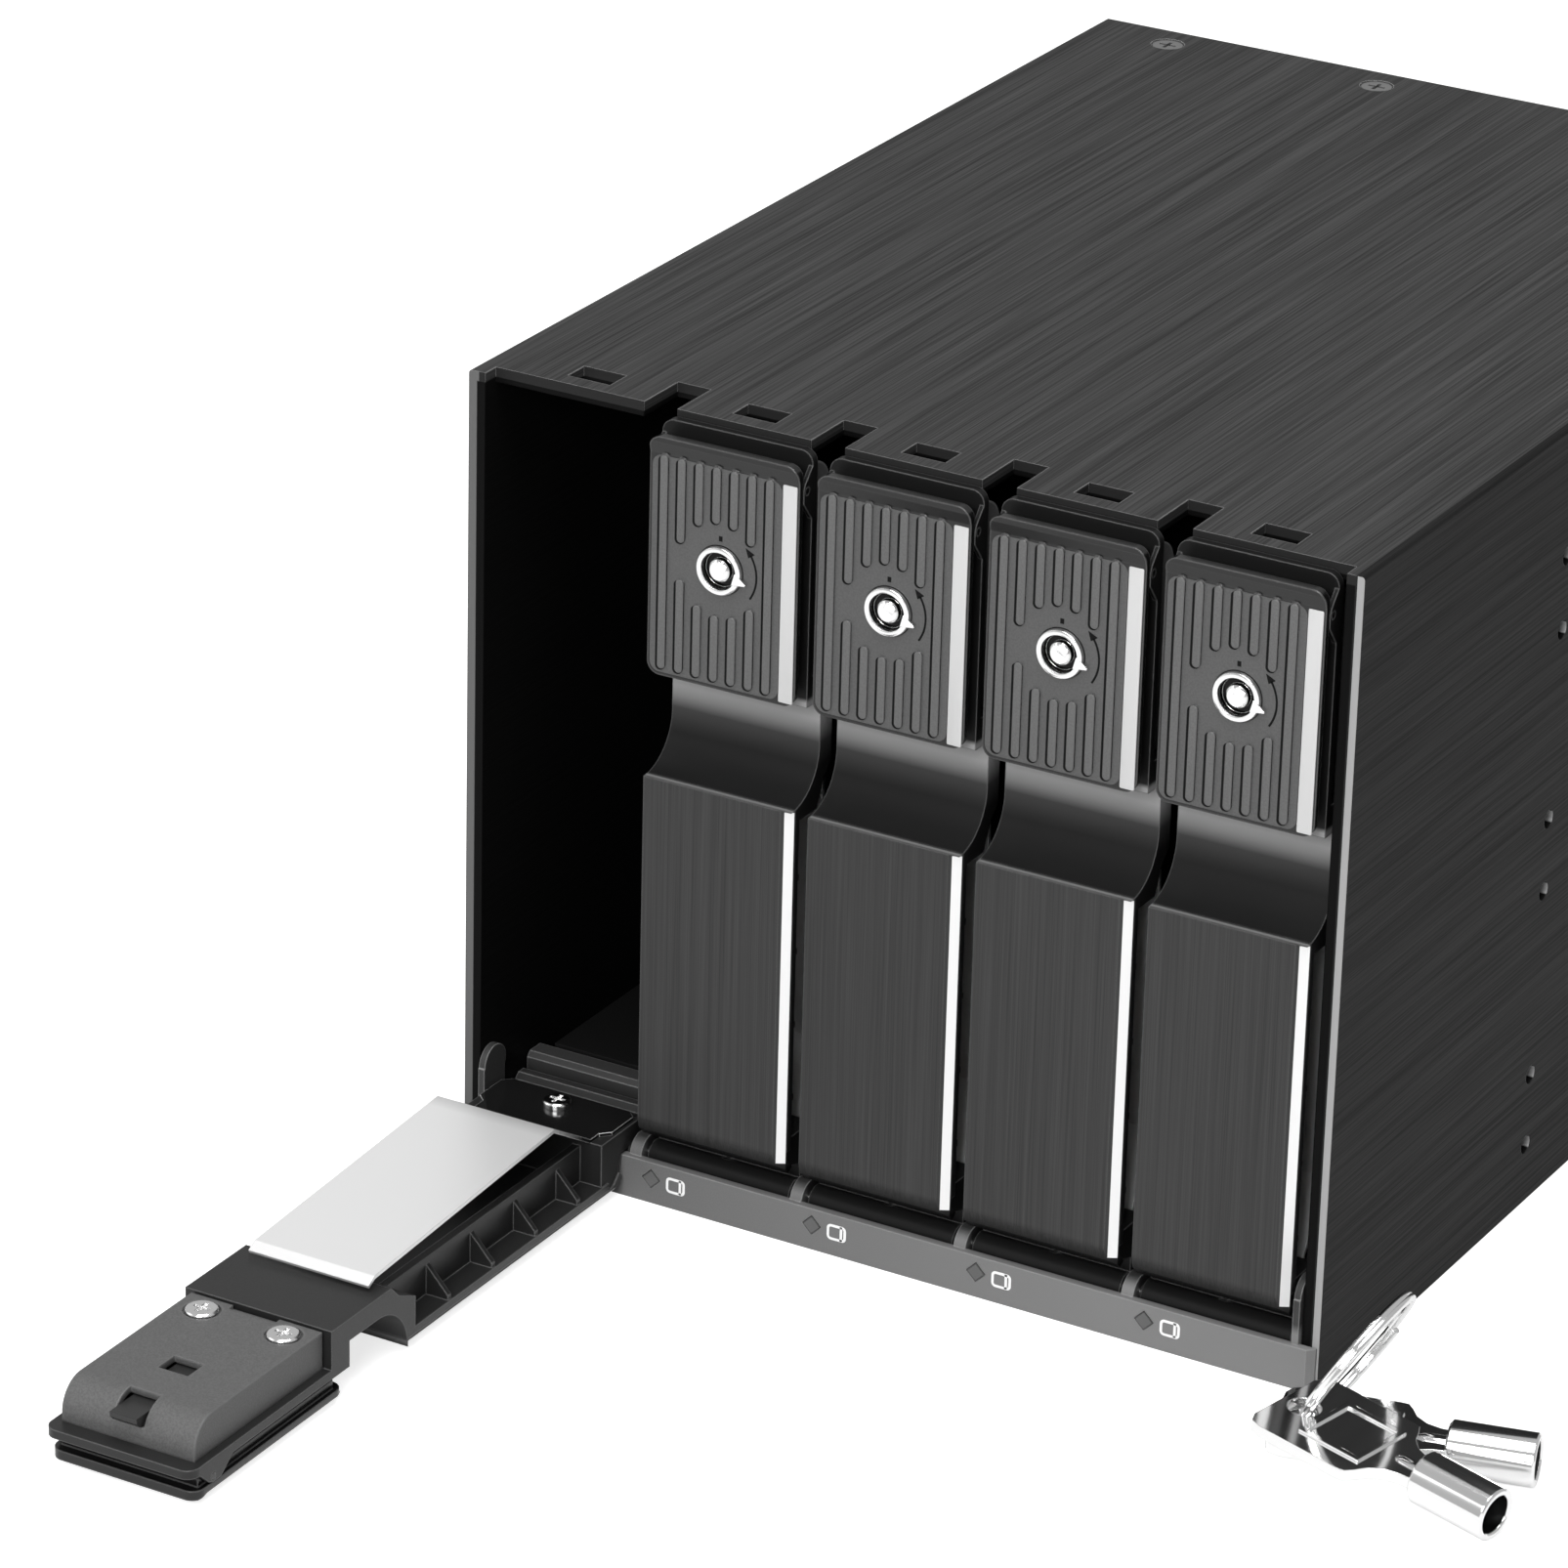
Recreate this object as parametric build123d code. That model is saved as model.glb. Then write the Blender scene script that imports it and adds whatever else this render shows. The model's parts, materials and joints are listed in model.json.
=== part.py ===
from build123d import *
import os
from math import cos, radians, sin, sqrt

# Cage: three 5.25 inch bays high, five 3.5 inch drives standing on edge
cage_width = 146.0
cage_height = 127.0
cage_depth = 200.0
side_wall = 2.8
roof_wall = 2.3
bay_count = 5
bay_margin = 3.0
open_bay = 0
open_angle = 90.0

# Clearances that the fits are worked out from
running = 0.05
face_gap = 0.3
slide_gap = 0.3

# Roof: front edge, notches between the doors and latch windows
roof_setback = 3.0
notch_width = 5.6
notch_depth = 9.5
window_width = 7.2
window_length = 4.6
window_y = 8.2

# Screw holes in the sides, on the standard 5.25 inch pattern
mount_unit = 42.33
mount_rows = (10.0, 21.8)
mount_first = 70.0
mount_spacing = 79.25
mount_radius = 1.5

# Hinge line of the doors, and the rod through them
hinge_y = 2.5
hinge_z = 6.3
rod_radius = 1.0
knuckle_radius = 2.3
rod_end_gap = 0.4

# Front bezel
bar_front = -1.6
bar_wall = 1.3
bar_height = 6.8
bar_overhang = 2.5
bezel_floor = 1.2
sill_front = 9.8
sill_depth = 7.2
sill_height = 11.0
ear_width = 2.0
ear_height = 9.3
end_ear_width = 1.1
end_ear_height = 17.0
led_inset = 2.0
led_height = 4.1
led_size = 2.2
led_proud = 0.1

# Bottom plate
floor_wall = 1.2
floor_flange = 6.4

# Drive guides, whose top rails hang so far below the roof that a 101.6 mm drive has 0.8 mm to spare
guide_floor = 1.6
rail_drop = 10.8
divider_wall = 1.2
rail_wall = 1.2
rail_width = 2.4
guide_side_gap = 2.7
vent_count = 5
vent_length = 20.0
vent_height = 62.0

# Backplane with the drive sockets in front and the ports behind
board_space = 31.0
board_wall = 1.6
board_edge = 1.5
board_slot_width = 6.0
board_slot_length = 32.0
board_slot_rise = 18.5
board_slot_drop = 17.7
socket_width = 5.4
socket_length = 42.0
socket_depth = 6.5
socket_offset = -7.0
socket_bottom = 6.0
port_width = 8.6
port_depth = 8.5
port_bottom = 56.0
port_drop = 13.7
port_gap = 5.0
port_wall = 2.0
port_key = 1.4
port_spread = 16.0
port_shift = -3.0
power_width = 21.0
power_length = 9.5
power_depth = 10.0
power_wall = 1.2
power_bottoms = (22.0, 38.0)
power_pin_pitch = 5.08
power_pin_radius = 1.0

# Rear panel and fan
rear_inset = 4.0
sheet_wall = 1.2
rear_flange = 11.0
fan_size = 80.0
fan_lift = 1.65
fan_depth = 25.0
fan_side_gap = 6.2
fan_hole_inset = 4.25
fan_hole_radius = 2.15
fan_corner = 4.0
fan_edge = 2.0
duct_wall = 1.5
motor_radius = 15.0
motor_depth = 4.0
spoke_width = 4.0
hub_radius = 16.0
hub_depth = 17.0
hub_wall = 2.0
blade_count = 7
blade_chord = 19.0
blade_wall = 1.5
blade_pitch = 52.0
tip_gap = 1.2
shaft_radius = 1.5
guard_wire = 1.5
guard_count = 4
guard_pitch = 8.0
guard_eye = 4.2
connector_fan_gap = 11.0
connector_side_gap = 3.2
connector_bottom = 18.0
connector_drop = 12.7

# Roof screws
roof_screw_side = 15.0
roof_screw_inset = 6.5
roof_screw_head = 2.75
roof_screw_shank = 1.5

# Door: sheet metal face on a moulded frame
door_gap = 2.8
face_front = -2.5
face_wall = 1.3
face_curl = 3.4
face_bottom = 11.0
face_curl_depth = 1.9
face_chamfer_width = 1.8
face_chamfer_depth = 1.0
frame_wall = 1.2
beam_inset = 4.1
beam_back = 6.0
beam_wall = 1.4
rib_count = 4
rib_first = 23.0
rib_drop = 11.6
rib_wall = 0.9
knuckle_inset = 0.3
hinge_block_back = 7.0
hinge_block_front = 3.5
hinge_block_bottom = 5.4
hinge_block_top = 16.5
neck_radius = 8.0
neck_back = 9.0
neck_foot = 2.4
neck_height = 15.4
neck_ledge = 4.6
base_front = 1.3
base_wall = 1.4
base_drop = 1.0
base_corner = 2.0
pivot_ear_wall = 0.7
pivot_ear_reach = 0.9
boss_radius = 2.3

# Leaf spring on the inside of the door
leaf_wall = 0.6
leaf_inset = 2.25
leaf_foot_inset = 0.8
leaf_foot = (5.2, 16.6)
leaf_fold = (13.4, 27.0)
leaf_end_back = 10.6
leaf_rise = 5.4
leaf_lip_back = 9.7
leaf_lip_height = 1.6

# Latch box on the inside of the door head
cover_inset = 1.35
cover_height = 32.2
cover_drop = 3.8
cover_gap = 0.4
cover_back = 8.7
cover_wall = 1.0
cover_round = 4.6
cover_slit_width = 8.0
cover_slit = 1.2
peep_width = 5.0
peep_height = 4.0
peep_drop = 13.2
cover_screw_inset = 4.25
cover_screw_rise = 3.6

# Lever, its pivot, and the hook that it draws back
lever_inset = 0.1
lever_front = -2.2
lever_plate = 1.0
lever_length = 37.5
lever_drop = 2.3
lever_corner = 2.0
brow_height = 2.7
brow_crown = 0.9
brow_proud = 0.5
lever_rib_count = 7
lever_rib_pitch = 2.95
lever_rib_width = 1.3
lever_rib_proud = 0.35
lever_rib_middle = -1.1
lever_rib_inset = 1.2
lever_rib_clearing = 7.2
lever_core_side = 0.9
lever_core_inset = 1.7
lever_core_back = 0.2
pivot_y = -0.2
pivot_drop = 4.2
pivot_radius = 0.6
arm_reach = 5.4
arm_width = 3.0
arm_wall = 1.6
hook_width = 4.6
hook_front = 5.8
hook_wall = 1.6
hook_gap = 0.4
hook_travel = 1.96
hook_foot = 6.0
lug_wall = 1.6

# Lock in the lever
lock_x = -0.4
lock_drop = 18.7
lock_radius = 3.8
lock_proud = 0.8
lock_back = 0.9
lock_groove = 2.8
lock_groove_depth = 1.3
lock_post = 1.7
lock_post_drop = 0.2
lock_slot = 0.9
lock_pointer_half = 0.9
lock_pointer_reach = 4.7
lock_pointer_turn = 15
lock_cam = 5.4

# Screws in the door
screw_shank = 1.0
door_screw_head = 2.5
door_screw_height = 0.9
leaf_screw_z = 9.4
leaf_screw_head = 2.2
leaf_screw_height = 1.1
screw_cross = 0.6
screw_cross_reach = 2.6
screw_cross_depth = 1.0
screw_round = 0.45
cover_screw_length = 4.5
leaf_screw_length = 3.5

# Keys on their ring, lying beside the cage
key_barrel_radius = 4.0
key_bore_radius = 2.9
key_barrel = 13.0
key_neck = 6.0
key_bow = 20.0
key_wall = 1.8
key_stem = 5.0
key_cap = 3.0
key_hole_inset = 4.5
key_hole_radius = 2.6
key_headings = (14.0, -12.0)
key_rises = (0.0, 5.0)
ring_radius = 12.0
ring_wire = 0.7
ring_lean = 30.0
ring_gap = 3.5
ring_foot_y = -8.0

# Values that follow from those above
inner_half = cage_width / 2 - side_wall
roof_under = cage_height - roof_wall
rear_panel_y = cage_depth - rear_inset
board_y = rear_panel_y - board_space
bay_pitch = (cage_width - 2 * bay_margin) / bay_count
door_width = bay_pitch - door_gap
led_offset = led_inset - door_width / 2
beam_width = door_width - 2 * beam_inset
knuckle_width = door_width - 2 * knuckle_inset
leaf_width = door_width - 2 * leaf_inset
leaf_foot_width = door_width - 2 * leaf_foot_inset
cover_width = door_width - 2 * cover_inset
cover_screw_x = cover_width / 2 - cover_screw_inset
lever_width = door_width - 2 * lever_inset
roof_screw_end = cage_width / 2 - roof_screw_side
roof_screw_x = [roof_screw_end * step / 3 for step in (-3, -1, 1, 3)]
ring_foot = (cage_width / 2 + ring_gap, ring_foot_y)
base_back = base_front + base_wall
face_back = face_front + face_wall
frame_back = face_back + frame_wall
curl_inside = [
    (face_front + face_curl_depth + 1.1, face_bottom + 0.7),
    (face_back + 0.25, face_bottom + 2.2),
    (face_back, face_bottom + face_curl + 0.3),
]
guide_floor_top = sill_height + 0.5
rail_under = roof_under - rail_drop
sill_back = sill_front + sill_depth
fan_x = fan_side_gap + fan_size / 2 - inner_half
fan_z = roof_under / 2 + fan_lift
connector_sides = (fan_x + fan_size / 2 + connector_fan_gap, inner_half - connector_side_gap)
port_middle = sum(connector_sides) / 2 + port_shift
port_columns = (port_middle - port_spread / 2, port_middle + port_spread / 2)
fan_hole_spacing = fan_size - 2 * fan_hole_inset
duct_radius = fan_size / 2 - fan_edge
guard_rings = [duct_radius - 1.0 - guard_pitch * (guard_count - 1 - i) for i in range(guard_count)]
port_rows = -(-bay_count // len(port_columns))
port_pitch = (roof_under - port_drop - port_bottom + port_gap) / port_rows
port_length = port_pitch - port_gap
cover_top = cage_height - cover_drop
cover_bottom = cover_top - cover_height
cover_screw_z = cover_bottom + cover_screw_rise
peep_z = cover_top - peep_drop
base_top = cage_height - base_drop
neck_top = cover_bottom - cover_gap
base_bottom = neck_top - neck_ledge
face_top = base_bottom - neck_height
neck_start = face_top + neck_foot
rib_pitch = (face_top - rib_drop - rib_first) / (rib_count - 1)
leaf_end = (leaf_end_back, face_top + leaf_rise)
leaf_lip = (leaf_lip_back, leaf_end[1] + leaf_lip_height)
lever_top = cage_height - lever_drop
lever_bottom = lever_top - lever_length
pivot_z = lever_top - pivot_drop
lock_z = lever_top - lock_drop
hook_bottom = cover_screw_z + boss_radius + hook_travel + slide_gap
hook_top = roof_under - hook_gap
hook_back = hook_front + hook_wall
lever_back = lever_front + lever_plate
bay_centres = [bay_pitch * (i - (bay_count - 1) / 2) for i in range(bay_count)]
wall_centres = [bay_pitch * (i - bay_count / 2) for i in range(1, bay_count)]
fan_front = rear_panel_y - fan_depth
key_hole = key_barrel / 2 + key_neck + key_bow - key_hole_inset
hinge_axis = Axis((0, hinge_y, hinge_z), (1, 0, 0))


def block(x, y, z):
    # A box between the given pairs of limits
    size = Box(x[1] - x[0], y[1] - y[0], z[1] - z[0], align=(Align.MIN,) * 3)
    return Pos(x[0], y[0], z[0]) * size


def prism(outline, x):
    # A solid with the given outline in Y and Z, between two values of X
    face = make_face(Polyline(*outline, close=True))
    return Pos(x[0], 0, 0) * extrude(Plane.YZ * face, x[1] - x[0])


def plate(x, z, y, corner):
    # An upright plate with round corners
    width, height = x[1] - x[0], z[1] - z[0]
    face = Plane.XZ * RectangleRounded(width, height, corner)
    return Pos((x[0] + x[1]) / 2, y[1], (z[0] + z[1]) / 2) * extrude(face, y[1] - y[0])


def pin_x(radius, x, y, z):
    return Pos((x[0] + x[1]) / 2, y, z) * Rot(0, 90, 0) * Cylinder(radius, x[1] - x[0])


def pin_y(radius, x, y, z):
    return Pos(x, (y[0] + y[1]) / 2, z) * Rot(90, 0, 0) * Cylinder(radius, y[1] - y[0])


def pin_z(radius, x, y, z):
    return Pos(x, y, (z[0] + z[1]) / 2) * Cylinder(radius, z[1] - z[0])


def sheet_outline(path, wall):
    # Both sides of a bent sheet, whose corners are mitred, from its middle line
    near, far = [], []
    for i, point in enumerate(path):
        ahead = Vector(*path[min(i + 1, len(path) - 1)]) - Vector(*path[min(i, len(path) - 2)])
        behind = Vector(*path[max(i, 1)]) - Vector(*path[max(i - 1, 0)])
        turn = (ahead.normalized() + behind.normalized()).normalized()
        reach = wall / 2 / turn.dot(ahead.normalized())
        side = Vector(-turn.Y, turn.X) * reach
        near.append((point[0] + side.X, point[1] + side.Y))
        far.append((point[0] - side.X, point[1] - side.Y))
    return near + far[::-1]


# Cage


def make_shell():
    shell = block((-cage_width / 2, cage_width / 2), (0, cage_depth), (0, cage_height))
    edges = shell.edges().filter_by(Axis.Y).group_by(Axis.Z)[-1]
    shell = fillet(edges, 0.5)
    shell -= block((-inner_half, inner_half), (-1, cage_depth + 1), (-1, roof_under))
    shell -= block((-inner_half, inner_half), (-1, roof_setback), (roof_under - 1, cage_height + 1))
    for x in wall_centres:
        notch = (x - notch_width / 2, x + notch_width / 2)
        shell -= block(notch, (0, roof_setback + notch_depth), (roof_under - 1, cage_height + 1))
    for x in bay_centres:
        window = (x - window_width / 2, x + window_width / 2)
        length = (window_y - window_length / 2, window_y + window_length / 2)
        shell -= block(window, length, (roof_under - 1, cage_height + 1))
    for y in (mount_first, mount_first + mount_spacing):
        for unit in range(3):
            for row in mount_rows:
                shell -= pin_x(mount_radius, (-cage_width, cage_width), y, unit * mount_unit + row)
    for x in roof_screw_x:
        hole = roof_screw_shank + running
        place = Pos(x, cage_depth - roof_screw_inset, cage_height)
        sink = roof_screw_head - roof_screw_shank
        shell -= place * Pos(0, 0, -sink / 2) * Cone(hole, roof_screw_head + running, sink)
        shell -= place * Cylinder(hole, 3 * roof_wall)
    return shell


def make_bottom_plate():
    side = inner_half
    front, back = sill_back + face_gap, rear_panel_y - face_gap
    floor = block((-side, side), (front, back), (0, floor_wall))
    for edge in (-side, side - floor_wall):
        floor += block((edge, edge + floor_wall), (front, back), (0, floor_flange))
    slots = 6
    pitch = (back - front) / (slots + 1)
    for i in range(slots):
        y = front + pitch * (i + 1)
        floor -= block((-side * 0.7, side * 0.7), (y - 3, y + 3), (-1, floor_wall + 1))
    return floor


def ear_outline(height, back):
    # A hinge ear seen from its end, rounded at the top
    top = Pos(hinge_y - 0.2, height - 3.0) * Circle(3.0)
    foot = Polyline((-0.9, 0), (-0.9, height - 3.0), (back, height - 3.0), (back, 0), close=True)
    return Plane.YZ * (make_face(foot) + top)


def make_bezel():
    half = inner_half - 0.2
    bar_half = inner_half + bar_overhang
    bar = block((-bar_half, bar_half), (bar_front, bar_front + bar_wall), (0, bar_height))
    ends = bar.edges().filter_by(Axis.Z).group_by(Axis.Y)[0]
    bar = chamfer(ends, bar_wall * 0.8)
    bezel = bar + block((-half, half), (bar_front, sill_back), (0, bezel_floor))
    sill = [
        (sill_front, 0), (sill_front, sill_height - 3.2), (sill_front + 0.9, sill_height - 2.3),
        (sill_front + 2.4, sill_height - 2.3), (sill_front + 2.4, sill_height - 3.6),
        (sill_front + 3.4, sill_height - 3.6), (sill_front + 3.4, sill_height - 0.8),
        (sill_front + 4.2, sill_height), (sill_back, sill_height), (sill_back, 0),
    ]
    bezel += prism(sill, (-half, half))
    for x in wall_centres:
        ear = extrude(ear_outline(ear_height, sill_front), ear_width / 2, both=True)
        bezel += Pos(x, 0, 0) * ear
    for side in (-1, 1):
        ear = extrude(ear_outline(end_ear_height, 5.0), end_ear_width / 2, both=True)
        bezel += Pos(side * (half - end_ear_width / 2), 0, 0) * ear
    bezel -= pin_x(rod_radius + running, (-half - 1, half + 1), hinge_y, hinge_z)
    for x in bay_centres:
        bezel -= lens(x, led_size + 2 * running, bar_front - 1, bar_front + bar_wall + 0.01)
    return bezel


def lens(x, size, front, back):
    # A square prism on its corner, in the bar below a bay
    turned = Pos(x + led_offset, (front + back) / 2, led_height) * Rot(0, 45, 0)
    return turned * Box(size, back - front, size)


def make_lenses():
    front, back = bar_front - led_proud, bar_front + bar_wall
    return [lens(x, led_size, front, back) for x in bay_centres]


def make_rod():
    reach = inner_half - rod_end_gap
    return pin_x(rod_radius, (-reach, reach), hinge_y, hinge_z)


def make_guides():
    half = inner_half - guide_side_gap
    front, back = sill_back + face_gap, board_y - face_gap
    floor_under = guide_floor_top - guide_floor
    guides = block((-half, half), (front, back), (floor_under, guide_floor_top))
    for x in wall_centres:
        wall = (x - divider_wall / 2, x + divider_wall / 2)
        guides += block(wall, (front, back), (floor_wall, roof_under - face_gap))
        rail = (x - rail_width, x + rail_width)
        guides += block(rail, (front, back), (rail_under, rail_under + rail_wall))
    pitch = (back - front) / vent_count
    middle = (guide_floor_top + rail_under) / 2
    vent_z = (middle - vent_height / 2, middle + vent_height / 2)
    for i in range(vent_count):
        y = front + pitch * (i + 0.5)
        guides -= block((-half, half), (y - vent_length / 2, y + vent_length / 2), vent_z)
    return guides


def make_board():
    half = inner_half - board_edge
    board = block((-half, half), (board_y, board_y + board_wall), (floor_flange, roof_under - board_edge))
    bottoms = (guide_floor_top + board_slot_rise, roof_under - board_slot_drop - board_slot_length)
    for x in wall_centres:
        slot = (x - board_slot_width / 2, x + board_slot_width / 2)
        for z in bottoms:
            board -= block(slot, (board_y - 1, board_y + board_wall + 1), (z, z + board_slot_length))
    return board


def make_sockets():
    sockets = []
    for x in bay_centres:
        width = (x + socket_offset - socket_width / 2, x + socket_offset + socket_width / 2)
        bottom = guide_floor_top + socket_bottom
        body = block(width, (board_y - socket_depth, board_y), (bottom, bottom + socket_length))
        slot = (x + socket_offset - 0.9, x + socket_offset + 1.7)
        for start, end in ((1.5, 24.0), (27.0, socket_length - 1.5)):
            depth = (board_y - socket_depth - 1, board_y - 1.5)
            body -= block(slot, depth, (bottom + start, bottom + end))
        sockets.append(body)
    return sockets


def make_ports():
    back = board_y + board_wall
    ports = []
    for i in range(bay_count):
        column = port_columns[i % len(port_columns)]
        bottom = port_bottom + port_pitch * (i // len(port_columns))
        top = bottom + port_length
        width = (column - port_width / 2, column + port_width / 2)
        body = block(width, (back, back + port_depth), (bottom, top))
        mouth = (back + port_wall, back + port_depth + 1)
        body -= block((column - port_key, column + port_wall), mouth, (bottom + port_wall, top - port_wall))
        ports.append(body)
    return ports


def make_power():
    back = board_y + board_wall
    sockets = []
    for bottom in power_bottoms:
        width = (port_middle - power_width / 2, port_middle + power_width / 2)
        body = block(width, (back, back + power_depth), (bottom, bottom + power_length))
        hollow = (width[0] + power_wall, width[1] - power_wall)
        height = (bottom + power_wall, bottom + power_length - power_wall)
        body -= block(hollow, (back + 2 * power_wall, back + power_depth + 1), height)
        for i in range(4):
            x = port_middle + power_pin_pitch * (i - 1.5)
            pin = (back + power_wall, back + power_depth - 2 * power_wall)
            body += pin_y(power_pin_radius, x, pin, bottom + power_length / 2)
        sockets.append(body)
    return sockets


def make_rear_panel():
    half = inner_half - running
    top = roof_under - running
    panel = block((-half, half), (rear_panel_y, rear_panel_y + sheet_wall), (0, top))
    under = (top - sheet_wall, top)
    panel += block((-half, half), (rear_panel_y - rear_flange, rear_panel_y + sheet_wall), under)
    panel -= pin_y(duct_radius, fan_x, (rear_panel_y - 1, rear_panel_y + 2 * sheet_wall), fan_z)
    height = (connector_bottom, roof_under - connector_drop)
    panel -= block(connector_sides, (rear_panel_y - 1, rear_panel_y + 2 * sheet_wall), height)
    for x, z in fan_corners():
        panel -= pin_y(fan_hole_radius, x, (rear_panel_y - 1, rear_panel_y + 2 * sheet_wall), z)
    for x in roof_screw_x:
        y = cage_depth - roof_screw_inset
        panel -= pin_z(roof_screw_shank + running, x, y, (top - 2 * sheet_wall, top + 1))
    return panel


def fan_corners():
    half = fan_hole_spacing / 2
    return [(fan_x + i * half, fan_z + j * half) for i in (-1, 1) for j in (-1, 1)]


def make_fan_frame():
    half = fan_size / 2
    depth = (fan_front, rear_panel_y)
    body = plate((fan_x - half, fan_x + half), (fan_z - half, fan_z + half), depth, fan_corner)
    waist = plate((fan_x - half - 1, fan_x + half + 1), (fan_z - half - 1, fan_z + half + 1),
                  (fan_front + 4, rear_panel_y - 4), 1.0)
    waist -= pin_y(duct_radius + duct_wall, fan_x, depth, fan_z)
    for x, z in fan_corners():
        waist -= pin_y(fan_corner, x, depth, z)
    body -= waist
    body -= pin_y(duct_radius, fan_x, (fan_front - 1, rear_panel_y + 1), fan_z)
    motor = (rear_panel_y - motor_depth, rear_panel_y)
    spokes = pin_y(motor_radius, fan_x, motor, fan_z)
    for turn in (45, 135, 225, 315):
        arm = block((0, duct_radius + 0.5), motor, (-spoke_width / 2, spoke_width / 2))
        spokes += Pos(fan_x, 0, fan_z) * Rot(0, turn, 0) * arm
    body += spokes
    body -= pin_y(shaft_radius + running, fan_x, (motor[0] - 1, motor[1] + 1), fan_z)
    for x, z in fan_corners():
        body -= pin_y(fan_hole_radius, x, (fan_front - 1, rear_panel_y + 1), z)
    return body


def make_rotor():
    front = fan_front + 2.0
    back = front + hub_depth
    hub = pin_y(hub_radius, 0, (front, back), 0)
    hub = fillet(hub.edges().group_by(Axis.Y)[0], 1.5)
    hub -= pin_y(hub_radius - hub_wall, 0, (front + hub_wall, back + 1), 0)
    reach = duct_radius - tip_gap
    middle = (front + back) / 2
    for i in range(blade_count):
        blade = Box(blade_wall, blade_chord, reach, align=(Align.CENTER, Align.CENTER, Align.MIN))
        blade = Pos(0, middle, 0) * Rot(0, 0, blade_pitch) * blade
        blade -= pin_y(hub_radius - 0.5, 0, (front - 9, back + 9), 0)
        blade &= pin_y(reach, 0, (front, back), 0)
        hub += Rot(0, 360 * i / blade_count, 0) * blade
    hub += pin_y(shaft_radius, 0, (front + 1, rear_panel_y - 0.5), 0)
    return Pos(fan_x, 0, fan_z) * hub


def make_guard():
    front = rear_panel_y + sheet_wall
    depth = (front, front + guard_wire)
    guard = None
    for radius in guard_rings:
        ring = pin_y(radius + guard_wire / 2, 0, depth, 0) - pin_y(radius - guard_wire / 2, 0, depth, 0)
        guard = ring if guard is None else guard + ring
    diagonal = fan_hole_spacing / 2 * 2 ** 0.5
    for turn in (45, 135, 225, 315):
        arm = block((guard_rings[0] - 2, diagonal), depth, (-guard_wire / 2, guard_wire / 2))
        guard += Rot(0, turn, 0) * arm
        guard += Rot(0, turn, 0) * pin_y(guard_eye, diagonal, depth, 0)
    for turn in (45, 135, 225, 315):
        guard -= Rot(0, turn, 0) * pin_y(fan_hole_radius, diagonal, (front - 1, front + 3), 0)
    return Pos(fan_x, 0, fan_z) * guard


def make_fan_screws():
    seat = rear_panel_y + sheet_wall + guard_wire
    screws = []
    for x, z in fan_corners():
        head = pin_y(3.4, x, (seat, seat + 1.2), z)
        screws.append(head + pin_y(fan_hole_radius - running, x, (rear_panel_y - 9, seat), z))
    return screws


def make_roof_screws():
    rim = roof_screw_head - 3 * running
    sink = rim - roof_screw_shank
    screws = []
    for x in roof_screw_x:
        place = Pos(x, cage_depth - roof_screw_inset, cage_height - 3 * running)
        head = Pos(0, 0, -sink / 2) * Cone(roof_screw_shank, rim, sink)
        shank = Pos(0, 0, -sink - 1.5) * Cylinder(roof_screw_shank, 3.0)
        cross = Box(3.0, screw_cross, 1.6) + Box(screw_cross, 3.0, 1.6)
        screws.append(place * (head + shank - cross))
    return screws


# Door, drawn shut and in the middle of its bay


def make_door_face():
    # Sheet metal front, curled in at its lower edge, with one long edge bevelled
    half = door_width / 2
    bend = face_bottom + face_curl
    tip = face_front + face_curl_depth
    outer = [(face_front, face_top), (face_front, bend), (face_front + 0.35, face_bottom + 1.6)]
    outer.append((tip, face_bottom))
    face = prism(outer + curl_inside + [(face_back, face_top)], (-half, half))
    points = [(half - face_chamfer_width, face_front), (half + 0.1, face_front + face_chamfer_depth),
              (half + 0.1, face_front - 0.1), (half - face_chamfer_width, face_front - 0.1)]
    bevel = make_face(Polyline(*points, close=True))
    return face - extrude(bevel, face_top + 1)


def make_door_frame():
    half = door_width / 2
    web = block((-half, half), (face_back, frame_back), (curl_inside[-1][1], face_top))
    frame = web + make_neck()
    beam = beam_width / 2
    channel = block((-beam, beam), (frame_back, beam_back), (hinge_block_top - 2, neck_start + 1))
    inside = (beam - beam_wall)
    channel -= block((-inside, inside), (frame_back, beam_back + 1), (hinge_block_top, neck_start))
    frame += channel - neck_hollow()
    for i in range(rib_count):
        z = rib_first + rib_pitch * i
        for side in (-1, 1):
            edge = side * (half - 0.3)
            points = [(side * (beam - 0.5), frame_back - 0.2), (edge, frame_back - 0.2),
                      (edge, frame_back + 0.8), (side * (beam - 0.5), beam_back - 0.6)]
            outline = make_face(Polyline(*points, close=True))
            frame += extrude(Pos(0, 0, z) * outline, rib_wall / 2, both=True)
    frame += make_hinge_block()
    frame += make_head()
    for x, z in ((-cover_screw_x, cover_screw_z), (cover_screw_x, cover_screw_z)):
        frame += pin_y(boss_radius, x, (base_back - 0.2, cover_back - cover_wall), z)
        frame -= pin_y(screw_shank + running, x, (base_front - 1, cover_back), z)
    frame -= pin_y(screw_shank + running, 0, (hinge_block_front - 1, hinge_block_back + 1), leaf_screw_z)
    return frame


def neck_hollow():
    # The round that sweeps back from the face to the head of the door
    half = door_width / 2
    return pin_x(neck_radius, (-half - 1, half + 1), face_front, face_top + neck_radius)


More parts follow.
